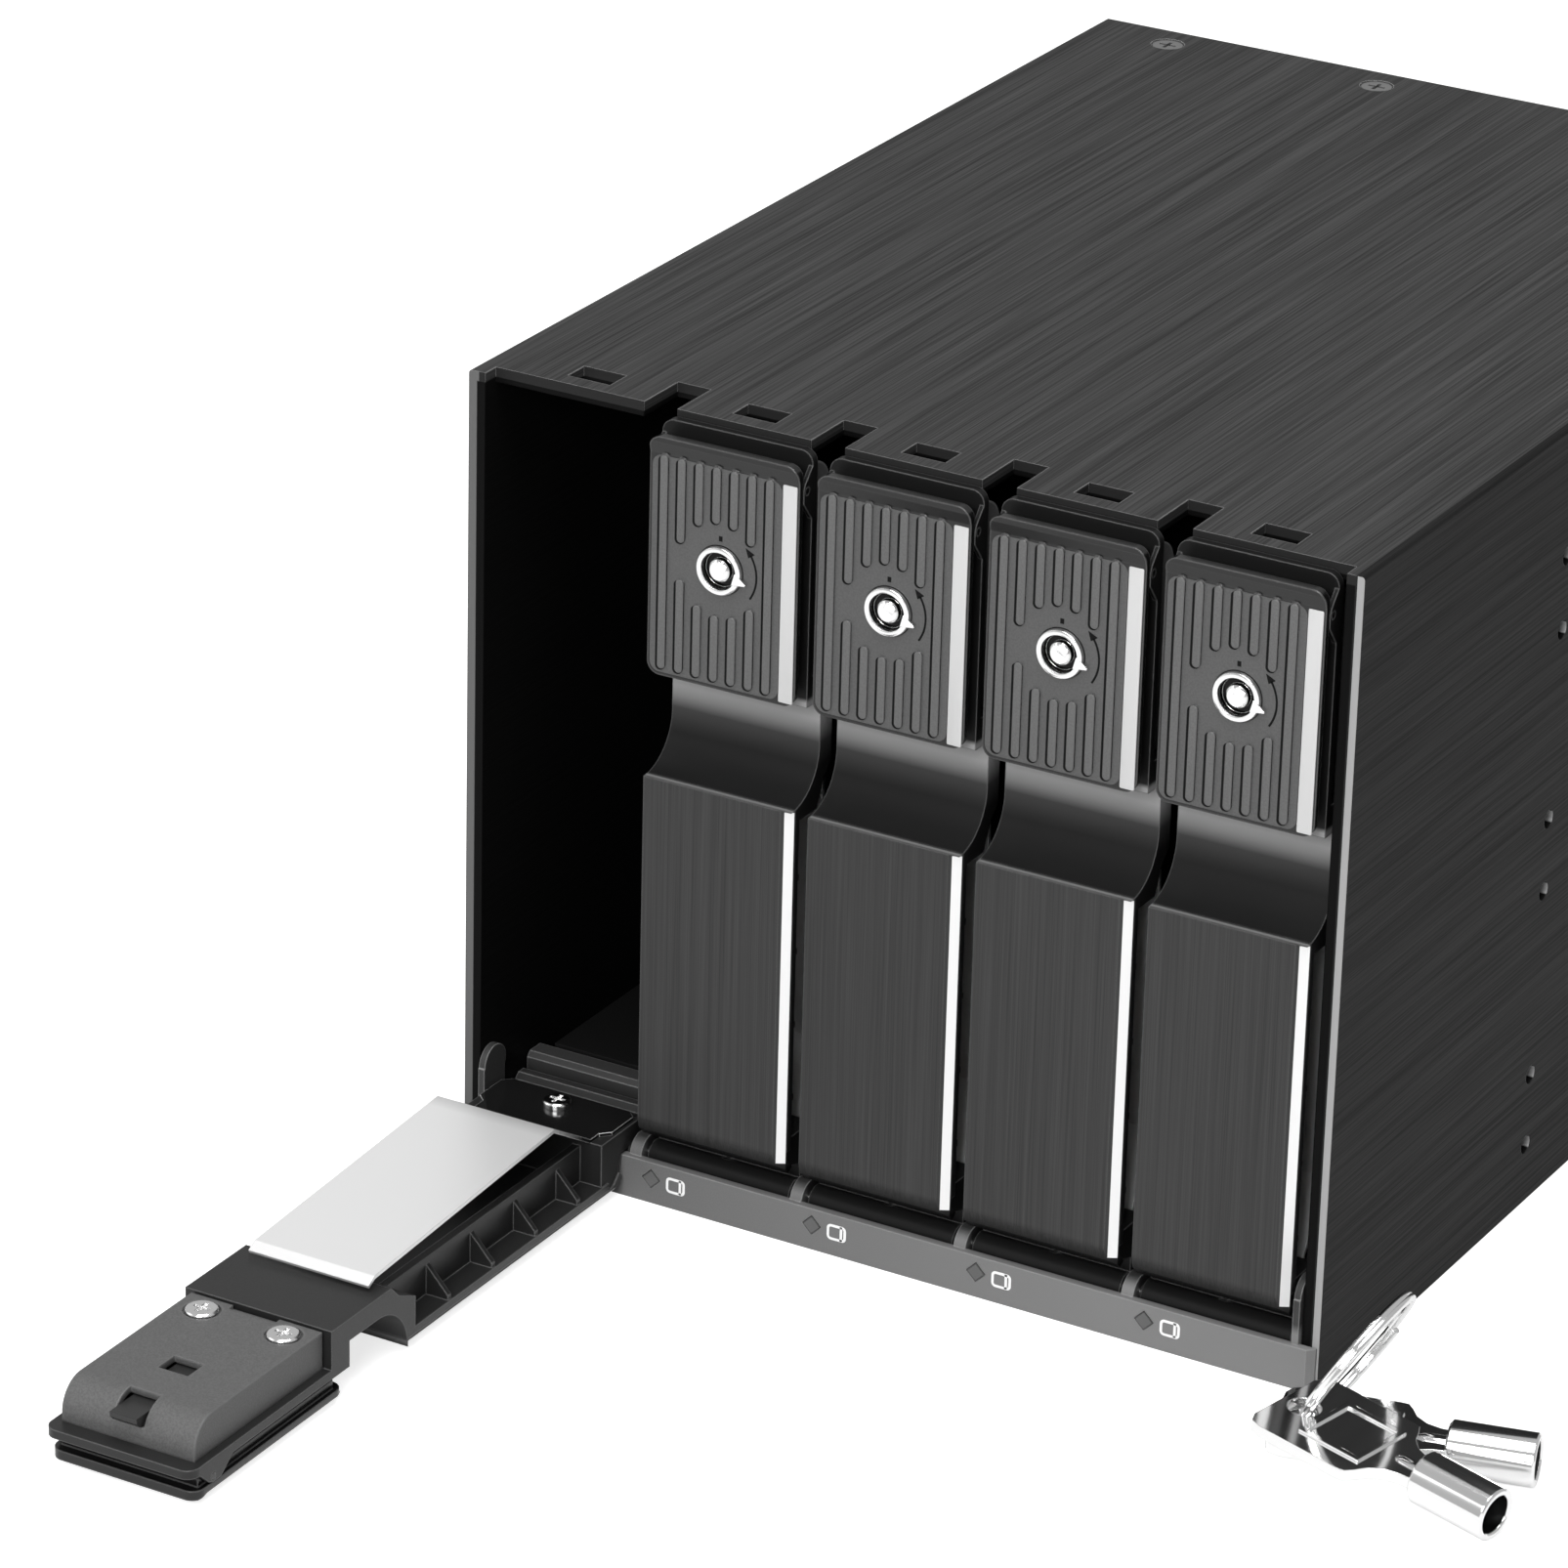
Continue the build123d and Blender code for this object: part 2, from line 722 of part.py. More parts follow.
def make_neck():
    # Where the door steps back from its face to pass under the lever
    half = door_width / 2
    recess = face_front + neck_radius
    middle = face_top + neck_radius
    outline = [
        (face_front, face_top), (face_front, middle), (recess, middle), (recess, base_bottom),
        (base_front, base_bottom), (base_front, neck_top), (neck_back, neck_top),
        (neck_back, neck_start + 2), (neck_back - 2, neck_start), (beam_back - 1, face_top - 2),
        (face_back, face_top - 2), (face_back, face_top),
    ]
    return prism(outline, (-half, half)) - neck_hollow()


def make_hinge_block():
    # The foot of the door, with the knuckle that turns on the rod
    half = knuckle_width / 2
    outline = curl_inside[::-1] + [
        (hinge_block_front, hinge_z + knuckle_radius + 2.2), (hinge_block_front, hinge_block_bottom),
        (hinge_block_back, hinge_block_bottom), (hinge_block_back, hinge_block_top),
        (face_back, hinge_block_top),
    ]
    foot = prism(outline, (-half, half))
    foot += pin_x(knuckle_radius, (-half, half), hinge_y, hinge_z)
    foot -= pin_x(rod_radius + running, (-half - 1, half + 1), hinge_y, hinge_z)
    return foot


def make_head():
    # Plate behind the lever, with the ears that hold the lever's pivot
    half = door_width / 2
    head = plate((-half, half), (base_bottom, base_top), (base_front, base_back), base_corner)
    reach = pivot_ear_reach
    for side in (-1, 1):
        outline = [
            (base_front + 0.2, pivot_z - 5.0), (pivot_y - reach, pivot_z - 2 * reach),
            (pivot_y - reach, pivot_z + 0.2), (pivot_y - 0.5, pivot_z + 1.2),
            (base_front + 0.2, pivot_z + 3.6),
        ]
        edge = side * half
        x = (edge - pivot_ear_wall, edge) if side > 0 else (edge, edge + pivot_ear_wall)
        head += prism(outline, x)
    head -= pin_x(pivot_radius + running, (-half - 1, half + 1), pivot_y, pivot_z)
    slot = arm_width / 2 + slide_gap
    height = (pivot_z - arm_wall - 2.6, pivot_z + arm_wall)
    head -= block((-slot, slot), (base_front - 0.01, base_back + 1), height)
    return head


def make_leaf():
    middle = hinge_block_back + leaf_wall / 2
    path = [(middle, leaf_foot[0]), (middle, leaf_foot[1]), leaf_fold, leaf_end, leaf_lip]
    half = leaf_width / 2
    leaf = prism(sheet_outline(path, leaf_wall), (-half, half))
    wide = leaf_foot_width / 2
    seat = (hinge_block_back, hinge_block_back + leaf_wall)
    foot = block((-wide, wide), seat, (leaf_foot[0], leaf_foot[1] - 2.5))
    foot = chamfer(foot.edges().filter_by(Axis.Y), 1.4)
    leaf += foot
    leaf -= pin_y(screw_shank + running, 0, (hinge_block_back - 1, hinge_block_back + 2), leaf_screw_z)
    return leaf


def make_cover():
    half = cover_width / 2
    cover = block((-half, half), (base_back, cover_back), (cover_bottom, cover_top))
    cover = fillet(cover.edges().filter_by(Axis.X).group_by(Axis.Y)[-1].sort_by(Axis.Z)[-1], cover_round)
    inside = half - cover_wall
    hollow = block((-inside, inside), (base_back - 1, cover_back - cover_wall),
                   (cover_bottom + cover_wall, cover_top - cover_wall))
    hollow = fillet(hollow.edges().filter_by(Axis.X).group_by(Axis.Y)[-1].sort_by(Axis.Z)[-1],
                    cover_round - cover_wall)
    cover -= hollow
    hook = hook_width / 2 + slide_gap
    mouth = (cover_top - cover_round, cover_top + 1)
    cover -= block((-hook, hook), (hook_front - slide_gap, cover_back + 1), mouth)
    cover -= block((-peep_width / 2, peep_width / 2), (cover_back - 2 * cover_wall, cover_back + 1),
                   (peep_z - peep_height / 2, peep_z + peep_height / 2))
    cover -= block((-cover_slit_width / 2, cover_slit_width / 2), (cover_back - 0.6, cover_back + 1),
                   (cover_bottom - 1, cover_bottom + cover_slit))
    for x in (-cover_screw_x, cover_screw_x):
        cover -= pin_y(screw_shank + running, x, (cover_back - 2, cover_back + 1), cover_screw_z)
        cover -= pin_y(door_screw_head + 0.3, x, (cover_back - 0.5, cover_back + 1), cover_screw_z)
    return cover


def make_door_screws():
    seat = cover_back - 0.5
    screws = []
    for x in (-cover_screw_x, cover_screw_x):
        spot = (x, seat, cover_screw_z)
        screws.append(door_screw(door_screw_head, door_screw_height, cover_screw_length, spot))
    seat = (0, hinge_block_back + leaf_wall, leaf_screw_z)
    screws.append(door_screw(leaf_screw_head, leaf_screw_height, leaf_screw_length, seat))
    return screws


def door_screw(radius, height, length, spot):
    # A cross-head screw with a domed rim, its head standing on its spot
    x, seat, z = spot
    head = pin_y(radius, x, (seat, seat + height), z)
    head = fillet(head.edges().group_by(Axis.Y)[-1], screw_round)
    shank = pin_y(screw_shank, x, (seat - length, seat), z)
    return cross_cut(head + shank, x, seat + height, z)


def cross_cut(screw, x, y, z):
    cross = Box(screw_cross_reach, screw_cross_depth, screw_cross)
    cross += Box(screw_cross, screw_cross_depth, screw_cross_reach)
    return screw - Pos(x, y, z) * cross


def lever_ribs():
    # Upright ribs on the lever's front, parted round the lock
    ribs = []
    low, high = lever_bottom + lever_rib_inset, lever_top - brow_height
    depth = (lever_front - lever_rib_proud, lever_front + 0.1)
    for column in range(lever_rib_count):
        x = lever_rib_middle + (column - (lever_rib_count - 1) / 2) * lever_rib_pitch
        aside = abs(x - lock_x)
        if aside > lever_rib_clearing:
            runs = [(low, high)]
        else:
            clear = sqrt(lever_rib_clearing ** 2 - aside ** 2)
            runs = [(low, lock_z - clear), (lock_z + clear, high)]
        for run in runs:
            sides = (x - lever_rib_width / 2, x + lever_rib_width / 2)
            ribs.append(plate(sides, run, depth, lever_rib_width * 0.49))
    return ribs


def make_lever():
    half = lever_width / 2
    brow_front = lever_front - brow_proud
    lever = plate((-half, half), (lever_bottom, lever_top), (brow_front, lever_back), lever_corner)
    crown, foot = lever_top - brow_crown, lever_top - brow_height
    field = [(brow_front - 1, lever_bottom - 1), (brow_front - 1, crown), (brow_front, crown),
             (lever_front, foot), (lever_front, lever_bottom - 1)]
    lever -= prism(field, (-half - 1, half + 1))
    lever += lever_ribs()
    core = half - lever_core_side
    lever += block((-core, core), (lever_back - 0.2, lever_core_back),
                   (lever_bottom + lever_core_inset, lever_top - lever_core_inset))
    inside = core - 1.4
    room = (lever_bottom + lever_core_inset + 1.4, lock_z - 7.0)
    lever -= block((-inside, inside), (lever_back + 0.3, lever_core_back + 1), room)
    lever -= block((-inside, inside), (lever_back + 0.3, lever_core_back + 1), (lock_z + 7.0, pivot_z - 2.6))
    reach = door_width / 2
    lever += pin_x(pivot_radius, (-reach, reach), pivot_y, pivot_z)
    arm = arm_width / 2
    height = (pivot_z - arm_wall / 2, pivot_z + arm_wall / 2)
    lever += block((-arm, arm), (lever_core_back - 0.5, arm_reach), height)
    lever -= pin_y(lock_radius + running, lock_x, (lever_front - 1, lever_core_back + 1), lock_z)
    return lever


def make_hook():
    half = hook_width / 2
    bar = block((-half, half), (hook_front, hook_back), (hook_bottom, hook_top))
    tip = bar.edges().filter_by(Axis.X).group_by(Axis.Z)[-1].sort_by(Axis.Y)[0]
    bar = chamfer(tip, 0.8)
    top = pivot_z - arm_wall / 2 - slide_gap
    bar += block((-half, half), (arm_reach - 1.0, hook_front + 0.2), (top - lug_wall, top))
    wide = cover_width / 2 - cover_wall - 1.6
    bar += block((-wide, wide), (hook_front, hook_back), (hook_bottom, hook_bottom + hook_foot))
    return bar


def make_lock():
    front = lever_front - lock_proud
    lock = pin_y(lock_radius, lock_x, (front, lever_core_back + 0.1), lock_z)
    rim = lock.edges().group_by(Axis.Y)[0]
    lock = fillet(rim, 0.4)
    floor = front + lock_groove_depth
    lock -= pin_y(lock_groove, lock_x, (front - 1, floor), lock_z)
    post = pin_y(lock_post, lock_x, (front + lock_post_drop, floor + 0.1), lock_z)
    slot = (lock_x - lock_slot / 2, lock_x + lock_slot / 2)
    post -= block(slot, (front, floor - 0.3), (lock_z, lock_z + lock_post + 1))
    lock += post
    tip = [(lock_groove, -lock_pointer_half), (lock_pointer_reach, 0), (lock_groove, lock_pointer_half)]
    pointer = extrude(Plane.XZ * make_face(Polyline(*tip, close=True)), lock_proud / 2)
    lock += Pos(lock_x, front + lock_proud / 2, lock_z) * Rot(0, lock_pointer_turn, 0) * pointer
    height = (lock_z - lock_cam, lock_z + 2.0)
    cam = block((lock_x - 1.6, lock_x + 1.6), (lever_core_back + 0.08, lock_back), height)
    return lock + cam


# Keys


def make_key(heading, rise, hole_spot):
    # A tubular key lying on its side: barrel, stem and a square bow with a hole for the ring
    bore = Pos(0, 0, key_cap) * Cylinder(key_bore_radius, key_barrel)
    barrel = Rot(90, 0, 0) * (Cylinder(key_barrel_radius, key_barrel) - bore)
    stem = Pos(0, key_barrel / 2 + key_neck / 2 - 1, 0) * Box(key_stem, key_neck + 2, key_wall)
    side = key_bow * 0.78
    bow = extrude(RectangleRounded(side, side, 2.5), key_wall / 2, both=True)
    bow = Pos(0, key_barrel / 2 + key_neck + key_bow / 2 - 1, 0) * Rot(0, 0, 45) * bow
    key = barrel + stem + bow - Pos(0, key_hole, 0) * Cylinder(key_hole_radius, 9)
    turn, tilt = radians(heading), radians(rise)
    x = hole_spot[0] + key_hole * cos(tilt) * cos(turn)
    y = hole_spot[1] + key_hole * cos(tilt) * sin(turn)
    z = key_barrel_radius * cos(tilt) + key_barrel / 2 * sin(tilt)
    return Pos(x, y, z) * Rot(0, 0, 90 + heading) * Rot(rise, 0, 0) * key


def ring_spot(height):
    # Where the leaning ring passes a height above the floor
    climb = (height - ring_wire) / cos(radians(ring_lean))
    along = (ring_radius ** 2 - (ring_radius - climb) ** 2) ** 0.5
    return (ring_foot[0] + climb * sin(radians(ring_lean)), ring_foot[1] - along)


def make_ring():
    lean = Pos(ring_foot[0], ring_foot[1], ring_wire) * Rot(0, ring_lean, 0)
    return lean * Pos(0, 0, ring_radius) * Rot(0, 90, 0) * Torus(ring_radius, ring_wire)


# Placing and writing


def in_bay(shape, bay):
    # A door piece moved to its bay, and swung down if that bay stands open
    if bay == open_bay:
        shape = shape.rotate(hinge_axis, open_angle)
    return Pos(bay_centres[bay], 0, 0) * shape


def write(name, pieces):
    solids = []
    for piece in pieces if isinstance(pieces, list) else [pieces]:
        solids.extend((Pos(0, -cage_depth / 2, 0) * piece).solids())
    export_step(Compound(solids), f"parts/{name}.step")


os.makedirs("parts", exist_ok=True)
write("shell_cover", make_shell())
write("bottom_plate", make_bottom_plate())
write("front_bezel", make_bezel())
write("hinge_rod", make_rod())
write("led_lenses", make_lenses())
write("drive_guides", make_guides())
write("backplane_board", make_board())
write("drive_sockets", make_sockets())
write("sata_ports", make_ports())
write("power_sockets", make_power())
write("rear_panel", make_rear_panel())
write("fan_frame", make_fan_frame())
write("fan_rotor", make_rotor())
write("fan_guard", make_guard())
write("fan_screws", make_fan_screws())
write("roof_screws", make_roof_screws())
door_pieces = {
    "door_{}_frame": make_door_frame(),
    "door_{}_face": make_door_face(),
    "door_{}_leaf_spring": make_leaf(),
    "door_{}_latch_cover": make_cover(),
    "door_{}_screws": make_door_screws(),
    "latch_{}_lever": make_lever(),
    "latch_{}_hook": make_hook(),
    "lock_{}_cylinder": make_lock(),
}
for bay in range(bay_count):
    for name, piece in door_pieces.items():
        group = piece if isinstance(piece, list) else [piece]
        write(name.format(bay + 1), [in_bay(shape, bay) for shape in group])
for number, (heading, rise) in enumerate(zip(key_headings, key_rises)):
    spot = ring_spot(key_barrel_radius + key_hole * sin(radians(rise)))
    write(f"key_{number + 1}", make_key(heading, rise, spot))
write("key_ring", make_ring())
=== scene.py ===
import json
import math

import bmesh
import bpy
from mathutils import Matrix, Vector


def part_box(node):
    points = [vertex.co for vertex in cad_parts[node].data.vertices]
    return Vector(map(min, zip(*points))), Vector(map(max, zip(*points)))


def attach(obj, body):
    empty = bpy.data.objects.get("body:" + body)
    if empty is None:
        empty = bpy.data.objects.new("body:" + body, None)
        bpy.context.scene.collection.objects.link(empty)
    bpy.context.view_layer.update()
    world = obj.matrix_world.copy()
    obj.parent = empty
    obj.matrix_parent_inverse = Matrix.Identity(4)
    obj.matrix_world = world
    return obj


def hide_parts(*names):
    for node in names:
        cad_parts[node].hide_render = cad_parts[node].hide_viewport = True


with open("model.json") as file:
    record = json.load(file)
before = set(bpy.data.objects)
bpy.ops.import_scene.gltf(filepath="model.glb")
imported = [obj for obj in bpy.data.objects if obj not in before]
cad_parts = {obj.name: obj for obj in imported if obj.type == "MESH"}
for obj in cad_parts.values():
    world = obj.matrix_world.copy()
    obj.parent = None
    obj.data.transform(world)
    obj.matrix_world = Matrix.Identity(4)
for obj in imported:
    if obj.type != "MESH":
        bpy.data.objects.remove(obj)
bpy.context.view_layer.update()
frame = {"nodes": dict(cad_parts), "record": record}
nodes = frame["nodes"]
print("frame loaded with", len(nodes), "nodes")

# Door pieces are drawn in millimetres, shut and in the middle of a bay, with Y from the cage's front edge
mm = 0.001
bayNumbers = [1, 2, 3, 4, 5]
openBay = 1
hinge = {"y": 2.5, "z": 6.3}
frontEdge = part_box("shell_cover")[0].y
bayCentres = {n: sum(corner.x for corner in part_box(f"door_{n}_face")) / 2 for n in bayNumbers}


def bayPlace(bay):
    place = Matrix.Translation((bayCentres[bay], frontEdge, 0)) @ Matrix.Scale(mm, 4)
    if bay != openBay:
        return place
    there = Matrix.Translation((0, hinge["y"], hinge["z"]))
    return place @ there @ Matrix.Rotation(math.radians(90), 4, "X") @ there.inverted()


cagePlace = Matrix.Translation((0, frontEdge, 0)) @ Matrix.Scale(mm, 4)


# Camera

cameraSetup = {
    "place": (0.46502, -0.95156, 0.50867),
    "azimuth": 29.57,
    "elevation": 23.95,
    "roll": 1.45,
    "focal": 7500 / 1605,  # focal length as a share of the picture's width
    "sensor": 36.0,
}


def makeCamera(setup):
    a, e, r = (math.radians(setup[k]) for k in ("azimuth", "elevation", "roll"))
    back = Vector((math.sin(a) * math.cos(e), -math.cos(a) * math.cos(e), math.sin(e)))
    right = Vector((math.cos(a), math.sin(a), 0))
    up = back.cross(right)
    turnedRight = right * math.cos(r) + up * math.sin(r)
    turnedUp = up * math.cos(r) - right * math.sin(r)
    data = bpy.data.cameras.new("camera")
    data.sensor_width = setup["sensor"]
    data.lens = setup["focal"] * setup["sensor"]
    data.clip_start, data.clip_end = 0.01, 50
    camera = bpy.data.objects.new("camera", data)
    turn = Matrix((turnedRight, turnedUp, back)).transposed().to_4x4()
    camera.matrix_world = Matrix.Translation(setup["place"]) @ turn
    bpy.context.scene.collection.objects.link(camera)
    bpy.context.scene.camera = camera


makeCamera(cameraSetup)


# Material helpers


def grey(value):
    return (value, value, value)


def nodeMaterial(name):
    material = bpy.data.materials.new(name)
    material.use_nodes = True
    tree = material.node_tree
    return material, tree.nodes, tree.links, tree.nodes["Principled BSDF"]


def setShader(shader, colour, rough, metal=0.0, specular=0.5, coat=0.0, coatRough=0.1):
    shader.inputs["Base Color"].default_value = (*colour, 1)
    shader.inputs["Roughness"].default_value = rough
    shader.inputs["Metallic"].default_value = metal
    shader.inputs["Specular IOR Level"].default_value = specular
    shader.inputs["Coat Weight"].default_value = coat
    shader.inputs["Coat Roughness"].default_value = coatRough


def objectNoise(nodeSet, links, scale, detail=3.0, rough=0.55):
    # Noise over Object coordinates, stretched by a different scale on each axis
    where = nodeSet.new("ShaderNodeTexCoord")
    mapping = nodeSet.new("ShaderNodeMapping")
    mapping.inputs["Scale"].default_value = scale
    noise = nodeSet.new("ShaderNodeTexNoise")
    noise.inputs["Scale"].default_value = 1.0
    noise.inputs["Detail"].default_value = detail
    noise.inputs["Roughness"].default_value = rough
    links.new(where.outputs["Object"], mapping.inputs["Vector"])
    links.new(mapping.outputs["Vector"], noise.inputs["Vector"])
    return noise.outputs["Fac"]


def spread(nodeSet, links, source, low, high, fromLow=0.3, fromHigh=0.7):
    remap = nodeSet.new("ShaderNodeMapRange")
    remap.inputs["From Min"].default_value = fromLow
    remap.inputs["From Max"].default_value = fromHigh
    remap.inputs["To Min"].default_value = low
    remap.inputs["To Max"].default_value = high
    links.new(source, remap.inputs["Value"])
    return remap.outputs["Result"]


def colourRamp(nodeSet, links, source, stops, steps="LINEAR"):
    ramp = nodeSet.new("ShaderNodeValToRGB")
    ramp.color_ramp.interpolation = steps
    while len(ramp.color_ramp.elements) < len(stops):
        ramp.color_ramp.elements.new(0.5)
    for stop, (spot, colour) in zip(ramp.color_ramp.elements, stops):
        stop.position, stop.color = spot, (*colour, 1)
    links.new(source, ramp.inputs["Fac"])
    return ramp.outputs["Color"]


def along(nodeSet, links, axis, low, high, size=False):
    # Rises from 0 to 1 between two places on an axis, or between two distances from its middle
    where = nodeSet.new("ShaderNodeTexCoord")
    split = nodeSet.new("ShaderNodeSeparateXYZ")
    links.new(where.outputs["Object"], split.inputs["Vector"])
    value = split.outputs[axis]
    if size:
        absolute = nodeSet.new("ShaderNodeMath")
        absolute.operation = "ABSOLUTE"
        links.new(value, absolute.inputs[0])
        value = absolute.outputs["Value"]
    return spread(nodeSet, links, value, 0.0, 1.0, low, high)


def softEdges(nodeSet, radius):
    # Rounds the shading at edges, as a broken edge on the real piece does
    bevel = nodeSet.new("ShaderNodeBevel")
    bevel.samples = 4
    bevel.inputs["Radius"].default_value = radius
    return bevel.outputs["Normal"]


def edgeMask(nodeSet, links, rounded):
    # 1 where the rounded normal leaves the face's own, so along edges
    where = nodeSet.new("ShaderNodeNewGeometry")
    dot = nodeSet.new("ShaderNodeVectorMath")
    dot.operation = "DOT_PRODUCT"
    links.new(rounded, dot.inputs[0])
    links.new(where.outputs["Normal"], dot.inputs[1])
    return spread(nodeSet, links, dot.outputs["Value"], 1.0, 0.0, 0.90, 0.995)


def facing(nodeSet, links, axis):
    # 1 on faces that look along an axis, either way
    where = nodeSet.new("ShaderNodeTexCoord")
    split = nodeSet.new("ShaderNodeSeparateXYZ")
    size = nodeSet.new("ShaderNodeMath")
    size.operation = "ABSOLUTE"
    links.new(where.outputs["Normal"], split.inputs["Vector"])
    links.new(split.outputs[axis], size.inputs[0])
    return spread(nodeSet, links, size.outputs["Value"], 0.0, 1.0, 0.75, 0.85)


def blendColour(nodeSet, links, mask, below, above):
    # The colour above may be a plain colour or another node's
    mix = nodeSet.new("ShaderNodeMix")
    mix.data_type = "RGBA"
    factor, first, second = (n for n in mix.inputs if n.enabled)
    links.new(mask, factor)
    links.new(below, first)
    if isinstance(above, tuple):
        second.default_value = (*above, 1)
    else:
        links.new(above, second)
    return next(n for n in mix.outputs if n.enabled)


def bump(nodeSet, links, height, distance, strength=1.0, normal=None):
    piece = nodeSet.new("ShaderNodeBump")
    piece.inputs["Distance"].default_value = distance
    piece.inputs["Strength"].default_value = strength
    links.new(height, piece.inputs["Height"])
    if normal is not None:
        links.new(normal, piece.inputs["Normal"])
    return piece.outputs["Normal"]


# Finishes


brush = {
    "layers": [(5600.0, 30.0, 0.45), (2300.0, 12.0, 0.35), (600.0, 5.0, 0.20)],  # across, along, share
    "rough": (0.36, 0.52), "metal": 0.05, "specular": 0.04, "edge": 0.0003,
    # foot is the tone of a painted shade at the bottom of the shut door faces
    "groove": 0.00002, "foot": grey(0.003),
}


def brushedBlack(name, grain, dark, light, cutAndHighlight, shell=None, foot=None):
    # Black anodised aluminium; grain is the axis that the brush ran along; the cut colour is a lighter tone for
    # its edges and end faces, partly the bare cut metal and partly a painted highlight
    material, nodeSet, links, shader = nodeMaterial(name)
    total = None
    for across, length, share in brush["layers"]:
        scale = [length if axis == grain else across for axis in "XYZ"]
        layer = objectNoise(nodeSet, links, scale, 2.0, 0.6)
        add = nodeSet.new("ShaderNodeMath")
        add.operation = "MULTIPLY_ADD"
        add.inputs[1].default_value = share
        add.inputs[2].default_value = 0.0
        links.new(layer, add.inputs[0])
        if total is not None:
            links.new(total, add.inputs[2])
        total = add.outputs["Value"]
    smooth, coarse = brush["rough"]
    setShader(shader, light, smooth, brush["metal"], brush["specular"])
    colour = colourRamp(nodeSet, links, total, [(0.40, dark), (0.60, light)])
    normal = softEdges(nodeSet, brush["edge"])
    # A painted highlight along every edge, in the cut colour
    colour = blendColour(nodeSet, links, edgeMask(nodeSet, links, normal), colour, cutAndHighlight)
    if shell:
        colour = shellPaintedLightAndShade(nodeSet, links, colour, grain, shell)
    else:
        # Faces across the grain take the cut colour: partly bare cut metal, partly a painted highlight
        colour = blendColour(nodeSet, links, facing(nodeSet, links, grain), colour, cutAndHighlight)
    # A painted shade darkens the face towards its bottom
    if foot:
        colour = blendColour(nodeSet, links, along(nodeSet, links, "Z", *foot), colour, brush["foot"])
    links.new(colour, shader.inputs["Base Color"])
    links.new(spread(nodeSet, links, total, coarse, smooth, 0.4, 0.6), shader.inputs["Roughness"])
    links.new(bump(nodeSet, links, total, brush["groove"], 0.4, normal), shader.inputs["Normal"])
    return material


def shellPaintedLightAndShade(nodeSet, links, colour, grain, s):
    # Painted light and shade on the shell: its front edges take painted light, in different tones left and
    # right, its right wall a painted shade, and its inside a painted near-black shade
    wallEdge = (s["inside"] - s["step"], s["inside"] + s["step"])
    roofEdge = (s["under"] - s["step"], s["under"] + s["step"])
    # A painted shade darkens the right wall of the shell
    side = spread(nodeSet, links, along(nodeSet, links, "X", *wallEdge), 0.0, s["sideShadeShare"], 0.0, 1.0)
    colour = blendColour(nodeSet, links, side, colour, s["side"])
    # Painted light on the faces across the grain, the front edges: one tone for the left wall, one for the roof
    # and one for the right wall
    across = along(nodeSet, links, "X", -s["reach"], s["reach"])
    wall = s["inside"] / s["reach"] / 2
    stops = [(0.0, s["left"]), (0.5 - wall, s["roof"]), (0.5 + wall, s["right"])]
    tones = colourRamp(nodeSet, links, across, stops, "CONSTANT")
    colour = blendColour(nodeSet, links, facing(nodeSet, links, grain), colour, tones)
    # A painted near-black shade over the inside of the shell
    outside = along(nodeSet, links, "X", *wallEdge, True)
    above = along(nodeSet, links, "Z", *roofEdge)
    either = nodeSet.new("ShaderNodeMath")
    either.operation = "MAXIMUM"
    links.new(outside, either.inputs[0])
    links.new(above, either.inputs[1])
    insideMask = spread(nodeSet, links, either.outputs["Value"], 1.0, 0.0, 0.0, 1.0)
    return blendColour(nodeSet, links, insideMask, colour, s["paintedInsideShade"])


def mouldedPlastic(name, colour, rough, grainSize=0.00025, depth=0.00002, specular=0.5, edge=0.0003, rim=None,
                   speckleTone=0.0, dark=(), paintedShading=None):
    # Injection moulded plastic with a fine spark texture; its tones can carry painted shade and painted light
    # along axes and up Z, and a painted highlight along its edges
    material, nodeSet, links, shader = nodeMaterial(name)
    setShader(shader, colour, rough, 0.0, specular)
    scale = 1 / grainSize
    speckle = objectNoise(nodeSet, links, (scale, scale, scale), 2.0, 0.6)
    normal = softEdges(nodeSet, edge)
    links.new(bump(nodeSet, links, speckle, depth, 0.6, normal), shader.inputs["Normal"])
    links.new(spread(nodeSet, links, speckle, rough - 0.05, rough + 0.07), shader.inputs["Roughness"])
    low, high = (tuple(c * k for c in colour) for k in (1 - speckleTone, 1 + speckleTone))
    tone = colourRamp(nodeSet, links, speckle, [(0.38, low), (0.62, high)])
    if paintedShading:
        # A painted gradient of light and shade up Z replaces the spark tones
        up = along(nodeSet, links, "Z", *paintedShading["up"])
        tone = colourRamp(nodeSet, links, up, [(at, grey(v)) for at, v in paintedShading["stops"]])
    # Each entry paints light and shade into the tone along an axis
    for axis, low, high, paintedTone in dark:
        tone = blendColour(nodeSet, links, along(nodeSet, links, axis, low, high), tone, paintedTone)
    # A painted highlight along the edges
    if rim:
        tone = blendColour(nodeSet, links, edgeMask(nodeSet, links, normal), tone, rim)
    links.new(tone, shader.inputs["Base Color"])
    return material


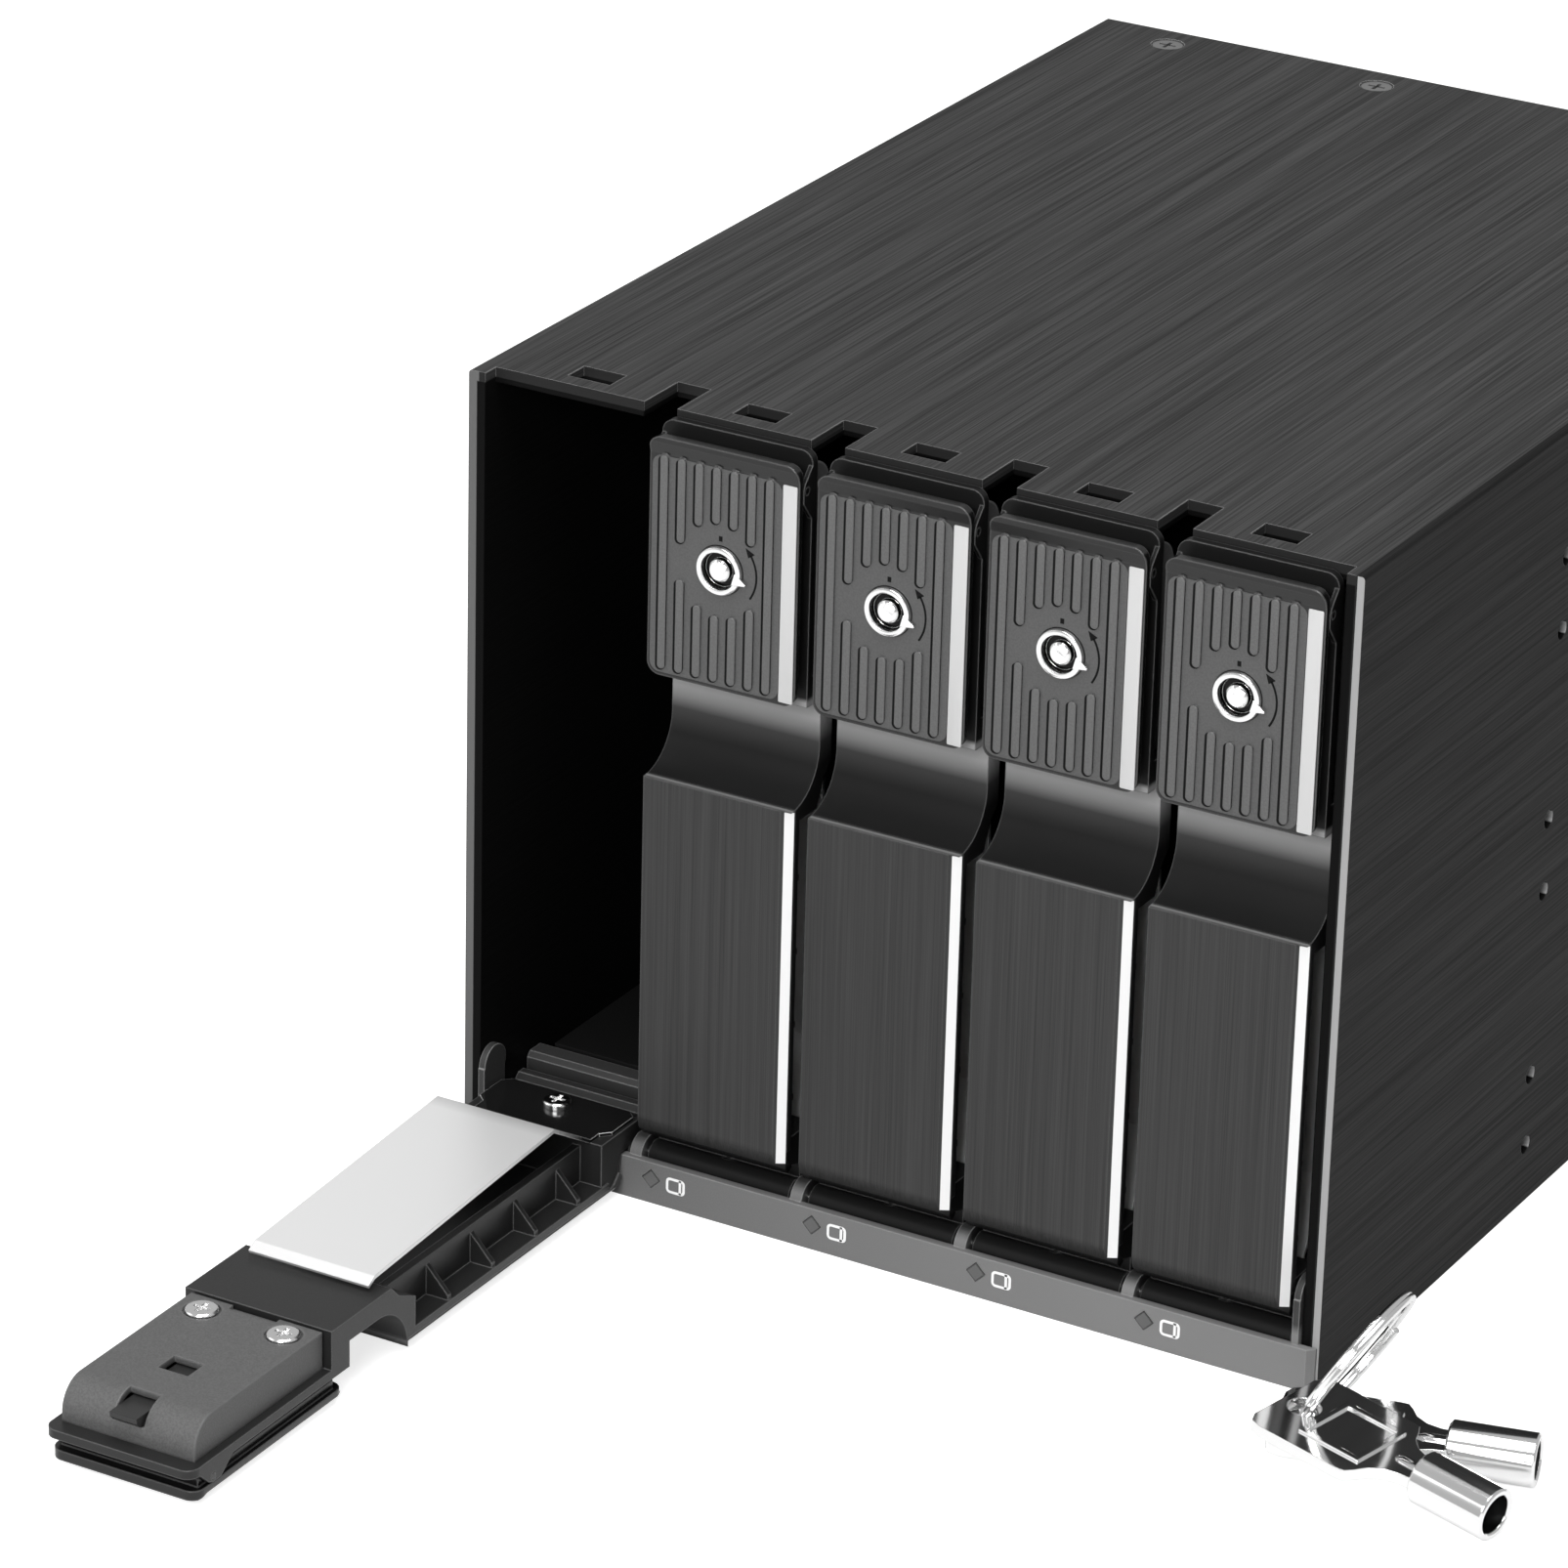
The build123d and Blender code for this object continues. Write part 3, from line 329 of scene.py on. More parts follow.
def smoothMetal(name, colour, rough, edge=0.0002, scratch=None, metal=1.0, paintedShading=None):
    # Its last argument gives the axis and the two places between which it darkens, a painted dark reflection
    # where it would mirror a dark space
    material, nodeSet, links, shader = nodeMaterial(name)
    setShader(shader, colour, rough, metal)
    if scratch:
        lines = objectNoise(nodeSet, links, scratch, 2.0, 0.5)
        links.new(spread(nodeSet, links, lines, rough * 0.8, rough * 1.35), shader.inputs["Roughness"])
    normal = softEdges(nodeSet, edge)
    if paintedShading:
        mask = along(nodeSet, links, *paintedShading)
        tone = colourRamp(nodeSet, links, mask, [(0.0, colour), (1.0, grey(0.015))])
        # Edges keep the bright colour inside the painted dark, a painted highlight
        tone = blendColour(nodeSet, links, edgeMask(nodeSet, links, normal), tone, colour)
        links.new(tone, shader.inputs["Base Color"])
        links.new(spread(nodeSet, links, mask, rough, 0.15, 0.0, 1.0), shader.inputs["Roughness"])
    links.new(normal, shader.inputs["Normal"])
    return material


def plain(name, colour, rough, metal=0.0, specular=0.5, coat=0.0, edge=0.0002, rim=None):
    material, nodeSet, links, shader = nodeMaterial(name)
    setShader(shader, colour, rough, metal, specular, coat)
    if edge:
        normal = softEdges(nodeSet, edge)
        links.new(normal, shader.inputs["Normal"])
        # A painted tone along the edges: lighter as a painted highlight, darker as a painted shade line
        if rim:
            whole = colourRamp(nodeSet, links, edgeMask(nodeSet, links, normal), [(0.0, colour), (1.0, rim)])
            links.new(whole, shader.inputs["Base Color"])
    return material


def circuitBoard(name):
    # Green-black solder mask over faint copper runs
    material, nodeSet, links, shader = nodeMaterial(name)
    setShader(shader, (0.004, 0.02, 0.012), 0.35, 0.0, 0.5, 0.3)
    runs = objectNoise(nodeSet, links, (260, 260, 900), 1.0, 0.3)
    stops = [(0.47, (0.003, 0.016, 0.010)), (0.53, (0.007, 0.034, 0.02))]
    links.new(colourRamp(nodeSet, links, runs, stops), shader.inputs["Base Color"])
    return material


# Painted light and shade on the shut doors' necks, up Z: dark at the foot, a painted bright band at the top
# under the lever, and dark at the lever's head
neckPaintedShading = {
    "up": (0.070, 0.088),
    "stops": [(0.3, 0.01), (0.5, 0.04), (0.7, 0.28), (0.93, 0.28), (0.97, 0.008)],  # foot, bend, top, top, head
}
# Painted light and shade on the shell: front edge tones for the left wall, roof and right wall, a painted shade
# on the right wall, and a painted shade inside
shellPaintedTones = {
    "reach": 0.08, "inside": 0.0716, "under": 0.1255, "step": 5e-5,
    "left": grey(0.12), "roof": grey(0.02), "right": grey(0.32), "paintedInsideShade": grey(0.004),
    "side": grey(0.003), "sideShadeShare": 0.85,
}
# Painted light and shade on the bezel: lighter towards the right, darker deeper in, and darker above 10 mm
bezelPaintedLightAndShade = [
    ("X", -0.065, 0.040, grey(0.175)),  # axis, from, to, tone
    ("Y", -0.1002, -0.0985, grey(0.02)),
    ("Z", 0.0085, 0.0100, grey(0.035)),
]

# Rim colours and the brushed finishes' cut colours below paint highlights along the edges; the lens's dark rim
# paints a shade line round it
finishes = {
    "shell": brushedBlack("brushedShell", "Y", grey(0.020), grey(0.049), grey(0.26), shell=shellPaintedTones),
    # The shut door faces get a painted shade at their foot
    "door_face": brushedBlack("brushedFace", "Z", grey(0.037), grey(0.054), grey(0.12),
                              foot=(0.0150, 0.0118)),
    "openFace": brushedBlack("brushedFaceOpen", "Y", grey(0.046), grey(0.068), grey(0.12)),
    "sheet_steel": mouldedPlastic("paintedSteel", grey(0.014), 0.5, 0.0004, 0.00003, 0.3,
                                  rim=grey(0.05), speckleTone=0.2),
    "bezel": mouldedPlastic("bezelPlastic", grey(0.11), 0.5, 0.0002, 0.00004, 0.25,
                            rim=grey(0.26), speckleTone=0.12, dark=bezelPaintedLightAndShade),
    "lens": plain("smokedLens", grey(0.09), 0.2, 0.0, 0.4, 0.0, 0.0004, grey(0.002)),
    "inner_plastic": mouldedPlastic("innerPlastic", grey(0.004), 0.6, specular=0.15),
    # The necks' tones are painted light and shade, set by the neck gradient above
    "door_plastic": mouldedPlastic("doorPlastic", grey(0.026), 0.36, 0.00025, 0.00001, 0.12,
                                   rim=grey(0.12), paintedShading=neckPaintedShading),
    "openDoor": mouldedPlastic("openDoorPlastic", grey(0.014), 0.36, 0.00025, 0.00001, 0.35, rim=grey(0.12)),
    "cover_plastic": mouldedPlastic("coverPlastic", grey(0.085), 0.48, 0.0003, 0.00004, 0.35, 0.0006,
                                    grey(0.14), 0.15),
    "lever_plastic": plain("leverRim", grey(0.005), 0.22, 0.0, 0.45, edge=0.0004, rim=grey(0.10)),
    "leverField": mouldedPlastic("leverField", grey(0.078), 0.5, 0.0003, 0.00002, 0.3, 0.0002,
                                 speckleTone=0.1),
    # The ribs take a lighter tone than the field of the same moulding: painted light where they catch the light
    "leverRib": mouldedPlastic("leverRib", grey(0.095), 0.45, 0.0003, 0.00002, 0.4, 0.0002,
                               speckleTone=0.1),
    # Near-black for the painted shadows under the lever ribs, and for the lever's marks
    "groove": plain("ribShadowAndMarkBlack", grey(0.004), 0.6, 0.0, 0.1, edge=0),
    "hook_plastic": plain("hookPlastic", grey(0.02), 0.35, 0.0, 0.4),
    "leaf_steel": smoothMetal("leafSteel", grey(0.80), 0.35, 0.0002, (300, 300, 20), 0.5),
    "openLeaf": smoothMetal("leafSteelOpen", grey(0.80), 0.35, 0.0002, (300, 20, 300), 0.5,
                            # A painted dark reflection at the open leaf's foot
                            paintedShading=("Y", -0.121, -0.110)),
    "bright_steel": smoothMetal("brightSteel", grey(0.55), 0.2),
    "screw": smoothMetal("nickelScrew", grey(0.88), 0.16, 0.0003),
    "dark_screw": smoothMetal("blackScrew", grey(0.2), 0.3, 0.00015, metal=0.7),
    # A painted dark reflection in the lock's groove and behind its front
    "lock_chrome": smoothMetal("lockChrome", grey(0.88), 0.14, 0.00012, paintedShading=("Y", -0.10285, -0.1019)),
    # A painted dark reflection in the open lock's groove and behind its front
    "openLock": smoothMetal("lockChromeOpen", grey(0.88), 0.14, 0.00012, paintedShading=("Z", 0.00095, 0.0019)),
    "key_metal": smoothMetal("keyNickel", grey(0.85), 0.1, 0.0002),
    "polished": smoothMetal("polishedEdge", grey(0.8), 0.3, 0.0001, metal=0.6),
    "strip": smoothMetal("leverStrip", grey(0.55), 0.35, 0.0001, metal=0.3),
    "board": circuitBoard("solderMask"),
    "connector": plain("connectorPlastic", grey(0.006), 0.35),
    "power_connector": plain("powerPlastic", (0.55, 0.54, 0.50), 0.45),
    "fan_plastic": plain("fanPlastic", grey(0.010), 0.4),
    "guard_wire": smoothMetal("guardWire", grey(0.6), 0.2),
    "pictogram": plain("whiteInk", grey(0.82), 0.5, 0.0, 0.3, 0.0, 0),
}
print("finishes made:", len(finishes))


def dressNode(name, finish):
    piece = nodes[name]
    while len(piece.data.materials) == 0:
        piece.data.materials.append(None)
    for place in piece.material_slots:
        place.material = finish


for row in frame["record"]["subparts"]:
    dressNode(row["node"], finishes[row["material_slot"]])
for part, finish in (("face", "openFace"), ("leaf_spring", "openLeaf"), ("frame", "openDoor")):
    dressNode(f"door_{openBay}_{part}", finishes[finish])


# Mesh helpers


def newPiece():
    return bmesh.new()


def addPart(whole, part):
    mesh = bpy.data.meshes.new("part")
    part.to_mesh(mesh)
    part.free()
    whole.from_mesh(mesh)
    bpy.data.meshes.remove(mesh)


def boxPart(x, y, z):
    part = bmesh.new()
    verts = bmesh.ops.create_cube(part, size=1.0)["verts"]
    bmesh.ops.scale(part, vec=(x[1] - x[0], y[1] - y[0], z[1] - z[0]), verts=verts)
    bmesh.ops.translate(part, vec=(sum(x) / 2, sum(y) / 2, sum(z) / 2), verts=verts)
    return part


def edgesAlong(part, axis):
    return [e for e in part.edges if abs((e.verts[0].co - e.verts[1].co).normalized()[axis]) > 0.99]


def roundedPlate(x, z, y, corner, rim=0.0, segments=6):
    # An upright plate with round corners, and with a round rim on the side towards -Y
    part = boxPart(x, y, z)
    bmesh.ops.bevel(part, geom=edgesAlong(part, 1), offset=corner, segments=segments, profile=0.5,
                    affect="EDGES", material=-1, clamp_overlap=True)
    if rim:
        front = [e for e in part.edges if all(abs(v.co.y - y[0]) < 1e-5 for v in e.verts)]
        bmesh.ops.bevel(part, geom=front, offset=rim, segments=3, profile=0.5,
                        affect="EDGES", material=-1, clamp_overlap=True)
    return part


def turnPart(part, degrees, axis):
    turn = Matrix.Rotation(math.radians(degrees), 3, axis)
    bmesh.ops.rotate(part, cent=(0, 0, 0), matrix=turn, verts=part.verts)


def movePart(part, x, y, z):
    bmesh.ops.translate(part, vec=(x, y, z), verts=part.verts)


def roundedOutline(x, z, corner):
    spots = []
    for side, up, turn in ((1, 1, 0), (0, 1, 90), (0, 0, 180), (1, 0, 270)):
        middle = (x[side] - corner * (1 if side else -1), z[up] - corner * (1 if up else -1))
        for step in range(7):
            angle = math.radians(turn + step * 15)
            spots.append((middle[0] + corner * math.cos(angle), middle[1] + corner * math.sin(angle)))
    return spots


def circleOutline(centre, radius, steps=48):
    angles = [k * math.tau / steps for k in range(steps)]
    return [(centre[0] + radius * math.cos(a), centre[1] + radius * math.sin(a)) for a in angles]


def platePart(loops, depth, lying=False):
    # A plate with the given outline, and holes after it: upright in XZ, or lying in XY
    part = bmesh.new()
    edges = []
    for loop in loops:
        verts = [part.verts.new((u, v, depth[0]) if lying else (u, depth[0], v)) for u, v in loop]
        edges += [part.edges.new((verts[k - 1], verts[k])) for k in range(len(verts))]
    faces = bmesh.ops.triangle_fill(part, use_beauty=True, edges=edges)["geom"]
    faces = [f for f in faces if isinstance(f, bmesh.types.BMFace)]
    back = bmesh.ops.extrude_face_region(part, geom=faces)["geom"]
    far = depth[1] - depth[0]
    bmesh.ops.translate(part, vec=(0, 0, far) if lying else (0, far, 0),
                        verts=[v for v in back if isinstance(v, bmesh.types.BMVert)])
    bmesh.ops.recalc_face_normals(part, faces=part.faces)
    return part


def turnedPart(profile, centre, steps):
    # A full turn of (radius, height) points about the Y axis through centre; height runs towards -Y
    part = bmesh.new()
    verts = [part.verts.new((radius, -height, 0)) for radius, height in profile]
    edges = [part.edges.new(pair) for pair in zip(verts, verts[1:])]
    bmesh.ops.spin(part, geom=verts + edges, cent=(0, 0, 0), axis=(0, 1, 0), angle=math.tau,
                   steps=steps, use_merge=True)
    bmesh.ops.remove_doubles(part, verts=part.verts, dist=1e-4)
    bmesh.ops.recalc_face_normals(part, faces=part.faces)
    movePart(part, *centre)
    return part


def finishPiece(name, part, finish, body, place, smoothAngle=35):
    bmesh.ops.transform(part, matrix=place, verts=part.verts)
    mesh = bpy.data.meshes.new(name)
    part.to_mesh(mesh)
    part.free()
    mesh.materials.append(finish)
    mesh.shade_smooth()
    mesh.set_sharp_from_angle(angle=math.radians(smoothAngle))
    piece = bpy.data.objects.new(name, mesh)
    bpy.context.scene.collection.objects.link(piece)
    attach(piece, body)
    return piece


# Levers: a grey field with raised ribs over the glossy black plate, a painted shadow beside each rib, and a
# bright strip down one edge

lever = {
    "bottom": 87.2, "front": -2.2, "skin": 0.06,
    "fieldLeft": -12.05, "fieldRight": 9.7, "fieldBottom": 87.75, "fieldTop": 121.75, "fieldCorner": 1.6,
    "stripLeft": 9.8, "stripRight": 12.15, "stripTop": 121.6,
    "ribCount": 7, "ribMiddle": -1.1, "ribPitch": 2.95, "ribWidth": 1.3, "ribProud": 0.42,
    "ribTop": 121.9, "ribBottom": 88.4, "ribShade": (-0.5, -0.34),
    "lockX": -0.4, "lockZ": 106.0, "clearing": 7.2, "hole": 3.9,
    "arcRadius": 6.1, "arcLine": 0.32,
}


def ribRuns(s):
    # Where each column of rib runs: whole at the outer columns, and parted round the lock elsewhere
    for column in range(s["ribCount"]):
        x = s["ribMiddle"] + (column - (s["ribCount"] - 1) / 2) * s["ribPitch"]
        aside = abs(x - s["lockX"])
        if aside > s["clearing"]:
            yield x, (s["ribBottom"], s["ribTop"])
        else:
            gap = math.sqrt(s["clearing"] ** 2 - aside ** 2)
            yield x, (s["ribBottom"], s["lockZ"] - gap)
            yield x, (s["lockZ"] + gap, s["ribTop"])


def turnMark(s, depth):
    # A plain arc with an arrow head, for the way the key turns
    spots = []
    outer, inner = (s["arcRadius"] + side * s["arcLine"] / 2 for side in (1, -1))
    for radius, angles in ((outer, range(-34, 35, 4)), (inner, range(34, -35, -4))):
        for angle in angles:
            a = math.radians(angle)
            spots.append((s["lockX"] + radius * math.cos(a), s["lockZ"] + radius * math.sin(a)))
    part = platePart([spots], depth)
    tip = [(s["arcRadius"] + x, z) for x, z in ((0.7, -0.2), (-0.6, -0.2), (-0.15, 1.3))]
    a = math.radians(34)
    tip = [(x * math.cos(a) - z * math.sin(a), x * math.sin(a) + z * math.cos(a)) for x, z in tip]
    tip = [(s["lockX"] + x, s["lockZ"] + z) for x, z in tip]
    addPart(part, platePart([tip], depth))
    return part


def makeLeverFace(bay, s):
    front = s["front"] - s["skin"]
    place, body = bayPlace(bay), f"lever_{bay}"
    width, height = (s["fieldLeft"], s["fieldRight"]), (s["fieldBottom"], s["fieldTop"])
    outline = roundedOutline(width, height, s["fieldCorner"])
    hole = circleOutline((s["lockX"], s["lockZ"]), s["hole"])
    field = platePart([outline, hole], (front, s["front"] + 0.2))
    ribs, shadowsAndMarks = newPiece(), newPiece()
    ribDepth = (s["front"] - s["ribProud"], front + 0.05)
    for x, run in ribRuns(s):
        width = (x - s["ribWidth"] / 2, x + s["ribWidth"] / 2)
        addPart(ribs, roundedPlate(width, run, ribDepth, s["ribWidth"] * 0.49, 0.16, 5))
        # A dark pill under each rib, offset to its lower left, is a painted shadow of the rib on the field
        shade = (width[0] + s["ribShade"][0], width[1] - 0.2), (run[0] + s["ribShade"][1], run[1] - 0.3)
        corner = (shade[0][1] - shade[0][0]) * 0.45
        addPart(shadowsAndMarks, roundedPlate(*shade, (front - 0.02, front + 0.05), corner, 0, 5))
    markDepth = (front - 0.03, front + 0.05)
    markSpot = (s["lockX"] - 0.3, s["lockX"] + 0.3), (s["lockZ"] + 4.5, s["lockZ"] + 5.3)
    addPart(shadowsAndMarks, boxPart(markSpot[0], markDepth, markSpot[1]))
    addPart(shadowsAndMarks, turnMark(s, markDepth))
    finishPiece(f"leverField_{bay}", field, finishes["leverField"], body, place)
    finishPiece(f"leverRibs_{bay}", ribs, finishes["leverRib"], body, place)
    finishPiece(f"ribShadowsAndMarks_{bay}", shadowsAndMarks, finishes["groove"], body, place)
    strip = roundedPlate((s["stripLeft"], s["stripRight"]), (s["bottom"] + 0.5, s["stripTop"]),
                         (front - 0.1, s["front"] + 0.2), 0.2, 0.08, 2)
    finishPiece(f"leverStrip_{bay}", strip, finishes["strip"], body, place)


for bay in bayNumbers:
    makeLeverFace(bay, lever)
print("lever faces made")


# Locks: a turned chrome ring with a deep groove round its post, and a pointer

lock = {
    "x": -0.4, "z": 106.0, "front": -3.0, "back": 2.9,
    "radius": 3.78, "groove": 2.75, "post": 1.75, "depth": 1.3,
    "flatTurn": 25, "flatShift": 0.2, "pointerReach": 4.75, "pointerHalf": 0.95, "pointerTurn": 15,
}


def makeLock(bay, s):
    post, groove, radius, back = s["post"], s["groove"], s["radius"], s["back"]
    ring = turnedPart([
        (0.0, -0.12), (post - 0.35, -0.12), (post, -0.45), (post + 0.05, -s["depth"]),
        (groove - 0.05, -s["depth"]), (groove, -0.4), (groove + 0.18, -0.05), (groove + 0.34, 0.0),
        (radius - 0.42, 0.0), (radius - 0.16, -0.08), (radius, -0.34), (radius, -back), (0.0, -back),
    ], (s["x"], s["front"], s["z"]), steps=64)
    flat = roundedPlate((-0.85, 0.85), (0.2, 1.5), (s["front"] - 0.02, s["front"] + 0.2), 0.2, 0.05, 2)
    turnPart(flat, s["flatTurn"], "Y")
    movePart(flat, s["x"] + s["flatShift"], 0, s["z"])
    addPart(ring, flat)
    nib = boxPart((groove - 0.1, s["pointerReach"]), (s["front"] - 0.05, s["front"] + 0.4),
                  (-s["pointerHalf"], s["pointerHalf"]))
    for vert in nib.verts:
        if vert.co.x > radius:
            vert.co.z *= 0.12  # narrows the pointer's end
    turnPart(nib, s["pointerTurn"], "Y")
    movePart(nib, s["x"], 0, s["z"])
    addPart(ring, nib)
    finish = finishes["openLock" if bay == openBay else "lock_chrome"]
    piece = finishPiece(f"lockFace_{bay}", ring, finish, f"lock_{bay}", bayPlace(bay))
    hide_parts(f"lock_{bay}_cylinder")


for bay in bayNumbers:
    makeLock(bay, lock)
print("locks made")


# Bright bevels on the door faces

bevelStrip = {
    "edge": 12.6, "width": 1.8, "depth": 1.0, "share": 0.72,
    "front": -2.5, "bottom": 13.0, "top": 70.4, "wall": 0.06,
}


def makeBevelStrip(bay, s):
    length = math.hypot(s["width"], s["depth"])
    strip = boxPart((length * (0.5 - s["share"]), length / 2), (-s["wall"], 0.02), (s["bottom"], s["top"]))
    turnPart(strip, math.degrees(math.atan2(s["depth"], s["width"])), "Z")
    movePart(strip, s["edge"] - s["width"] / 2, s["front"] + s["depth"] / 2, 0)
    name = f"bevelStrip_{bay}"
    finishPiece(name, strip, finishes["polished"], f"door_{bay}", bayPlace(bay))


for bay in bayNumbers:
    makeBevelStrip(bay, bevelStrip)
print("bevel strips made")


# Drive pictograms on the bezel, right of each indicator

pictogram = {
    "shift": 4.3, "offset": -10.6, "z": 3.9, "half": (1.65, 1.3), "corner": 0.7,
    "line": 0.42, "front": -1.6, "proud": 0.04,
}


def makePictograms(s):
    marks = newPiece()
    for bay in bayNumbers:
        x = bayCentres[bay] / mm + s["offset"] + s["shift"]
        depth = (s["front"] - s["proud"], s["front"] + 0.05)
        w, h, t = s["half"][0], s["half"][1], s["line"]
        outer = roundedPlate((x - w, x + w), (s["z"] - h, s["z"] + h), depth, s["corner"], 0.0, 4)
        rim = [f for f in outer.faces if abs(f.normal.y) > 0.9]
        bmesh.ops.inset_region(outer, faces=rim, thickness=t, use_even_offset=True)
        inner = [f for f in outer.faces if abs(f.normal.y) > 0.9 and len(f.verts) > 4]
        bmesh.ops.delete(outer, geom=inner, context="FACES")
        addPart(marks, outer)
        bar = x + w * 0.35
        addPart(marks, boxPart((bar, bar + t), depth, (s["z"] - h + 0.1, s["z"] + h - 0.1)))
    finishPiece("drivePictograms", marks, finishes["pictogram"], "cage", cagePlace)


makePictograms(pictogram)
print("pictograms made")


# Keys with a framed square bow, on a ring of two turns

keys = [
    {"node": "key_1", "spot": (105.574, -9.997, 4.0), "heading": 14, "rise": 0},
    {"node": "key_2", "spot": (107.098, -24.53, 4.551), "heading": -12, "rise": 5},
]
keyForm = {
    "barrel": 4.0, "bore": 2.9, "end": 6.5, "boreEnd": -3.5, "wall": 0.9, "hole": (0, 28), "holeRadius": 2.5,
    "side": [(3.0, 5.8), (3.2, 8.2), (4.0, 10.4), (5.6, 12.2), (7.6, 13.2), (8.8, 14.0), (9.0, 15.2),
             (9.0, 29.2), (8.4, 30.8), (6.8, 31.6)],
    "frame": (5.6, 14.0, 24.6, 0.9), "frameProud": 0.35, "tongue": 1.5, "tongueEnd": 11.6,
}


def makeKey(key, s):
    bore, boreEnd, radius, end = s["bore"], s["boreEnd"], s["barrel"], s["end"]
    barrel = turnedPart([
        (0.0, boreEnd), (bore, boreEnd), (bore, end - 0.25), (bore + 0.25, end), (radius - 0.3, end),
        (radius, end - 0.3), (radius, -end + 0.4), (radius - 0.4, -end), (0.0, -end),
    ], (0, 0, 0), steps=64)
    outline = s["side"] + [(-x, y) for x, y in reversed(s["side"])]
    hole = circleOutline(s["hole"], s["holeRadius"])
    addPart(barrel, platePart([outline, hole], (-s["wall"], s["wall"]), True))
    half, low, high, line = s["frame"]
    outer = [(half, low), (half, high), (-half, high), (-half, low)]
    half, low, high = half - line, low + line, high - line
    inner = [(half, low), (half, high), (-half, high), (-half, low)]
    for sign in (-1, 1):
        depth = sorted((sign * (s["wall"] - 0.1), sign * (s["wall"] + s["frameProud"])))
        addPart(barrel, platePart([outer, inner], depth, True))
    tip, thick = -s["tongueEnd"], s["tongue"]
    profile = [(0.0, tip), (thick * 0.7, tip + 0.45), (thick, tip + 1.5), (thick, -end + 0.3)]
    tongue = turnedPart(profile, (0, 0, 0), steps=32)
    addPart(barrel, tongue)
    heading = Matrix.Rotation(math.radians(90 + key["heading"]), 4, "Z")
    rise = Matrix.Rotation(math.radians(key["rise"]), 4, "X")
    place = cagePlace @ Matrix.Translation(key["spot"]) @ heading @ rise
    name = key["node"].replace("_", "Face_")
    piece = finishPiece(name, barrel, finishes["key_metal"], "cage", place)
    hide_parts(key["node"])


ring = {
    "foot": (76.5, -8.0, 0.88), "radius": 12.0, "wire": 0.62, "lean": 30,
    "turns": 2, "gap": 1.28, "steps": 96, "around": 12,
}


def makeRing(s):
    # The wire's round section is spun through both turns, and drifts along the axis as it goes
    part = newPiece()
    section = bmesh.ops.create_circle(part, cap_ends=False, segments=s["around"], radius=s["wire"])["verts"]
    bmesh.ops.translate(part, vec=(-s["gap"] / 2, s["radius"], 0), verts=section)
    steps = s["steps"] * s["turns"]
    bmesh.ops.spin(part, geom=part.verts[:] + part.edges[:], cent=(0, 0, 0), axis=(1, 0, 0),
                   dvec=(s["gap"] / steps, 0, 0), angle=math.tau * s["turns"], steps=steps, use_merge=False)
    bmesh.ops.holes_fill(part, edges=[e for e in part.edges if e.is_boundary], sides=0)
    bmesh.ops.translate(part, vec=(0, 0, s["radius"]), verts=part.verts)
    bmesh.ops.recalc_face_normals(part, faces=part.faces)
    lean = Matrix.Rotation(math.radians(s["lean"]), 4, "Y")
    place = cagePlace @ Matrix.Translation(s["foot"]) @ lean
    piece = finishPiece("splitRing", part, finishes["key_metal"], "cage", place)
    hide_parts("key_ring")


for key in keys:
    makeKey(key, keyForm)
makeRing(ring)
print("keys made")


# Lights, floor and backdrop

lights = [
    {"name": "overhead", "place": (0.15, -0.30, 1.15), "aim": (0, 0, 0.05), "size": (0.8, 0.8), "power": 13},
    {"name": "front", "place": (0.25, -1.45, 0.80), "aim": (0, 0, 0.06), "size": (0.7, 0.6), "power": 17},
    {"name": "leftFill", "place": (-1.1, -0.8, 0.6), "aim": (0, 0, 0.06), "size": (0.9, 1.0), "power": 3},
]


def makeLight(setup):
    data = bpy.data.lights.new(setup["name"], "AREA")
    data.shape = "RECTANGLE"
    data.size, data.size_y = setup["size"]
    data.energy = setup["power"]
    lamp = bpy.data.objects.new(setup["name"], data)
    lamp.location = setup["place"]
    sight = Vector(setup["aim"]) - Vector(setup["place"])
    lamp.rotation_euler = sight.to_track_quat("-Z", "Y").to_euler()
    bpy.context.scene.collection.objects.link(lamp)


for setup in lights:
    makeLight(setup)


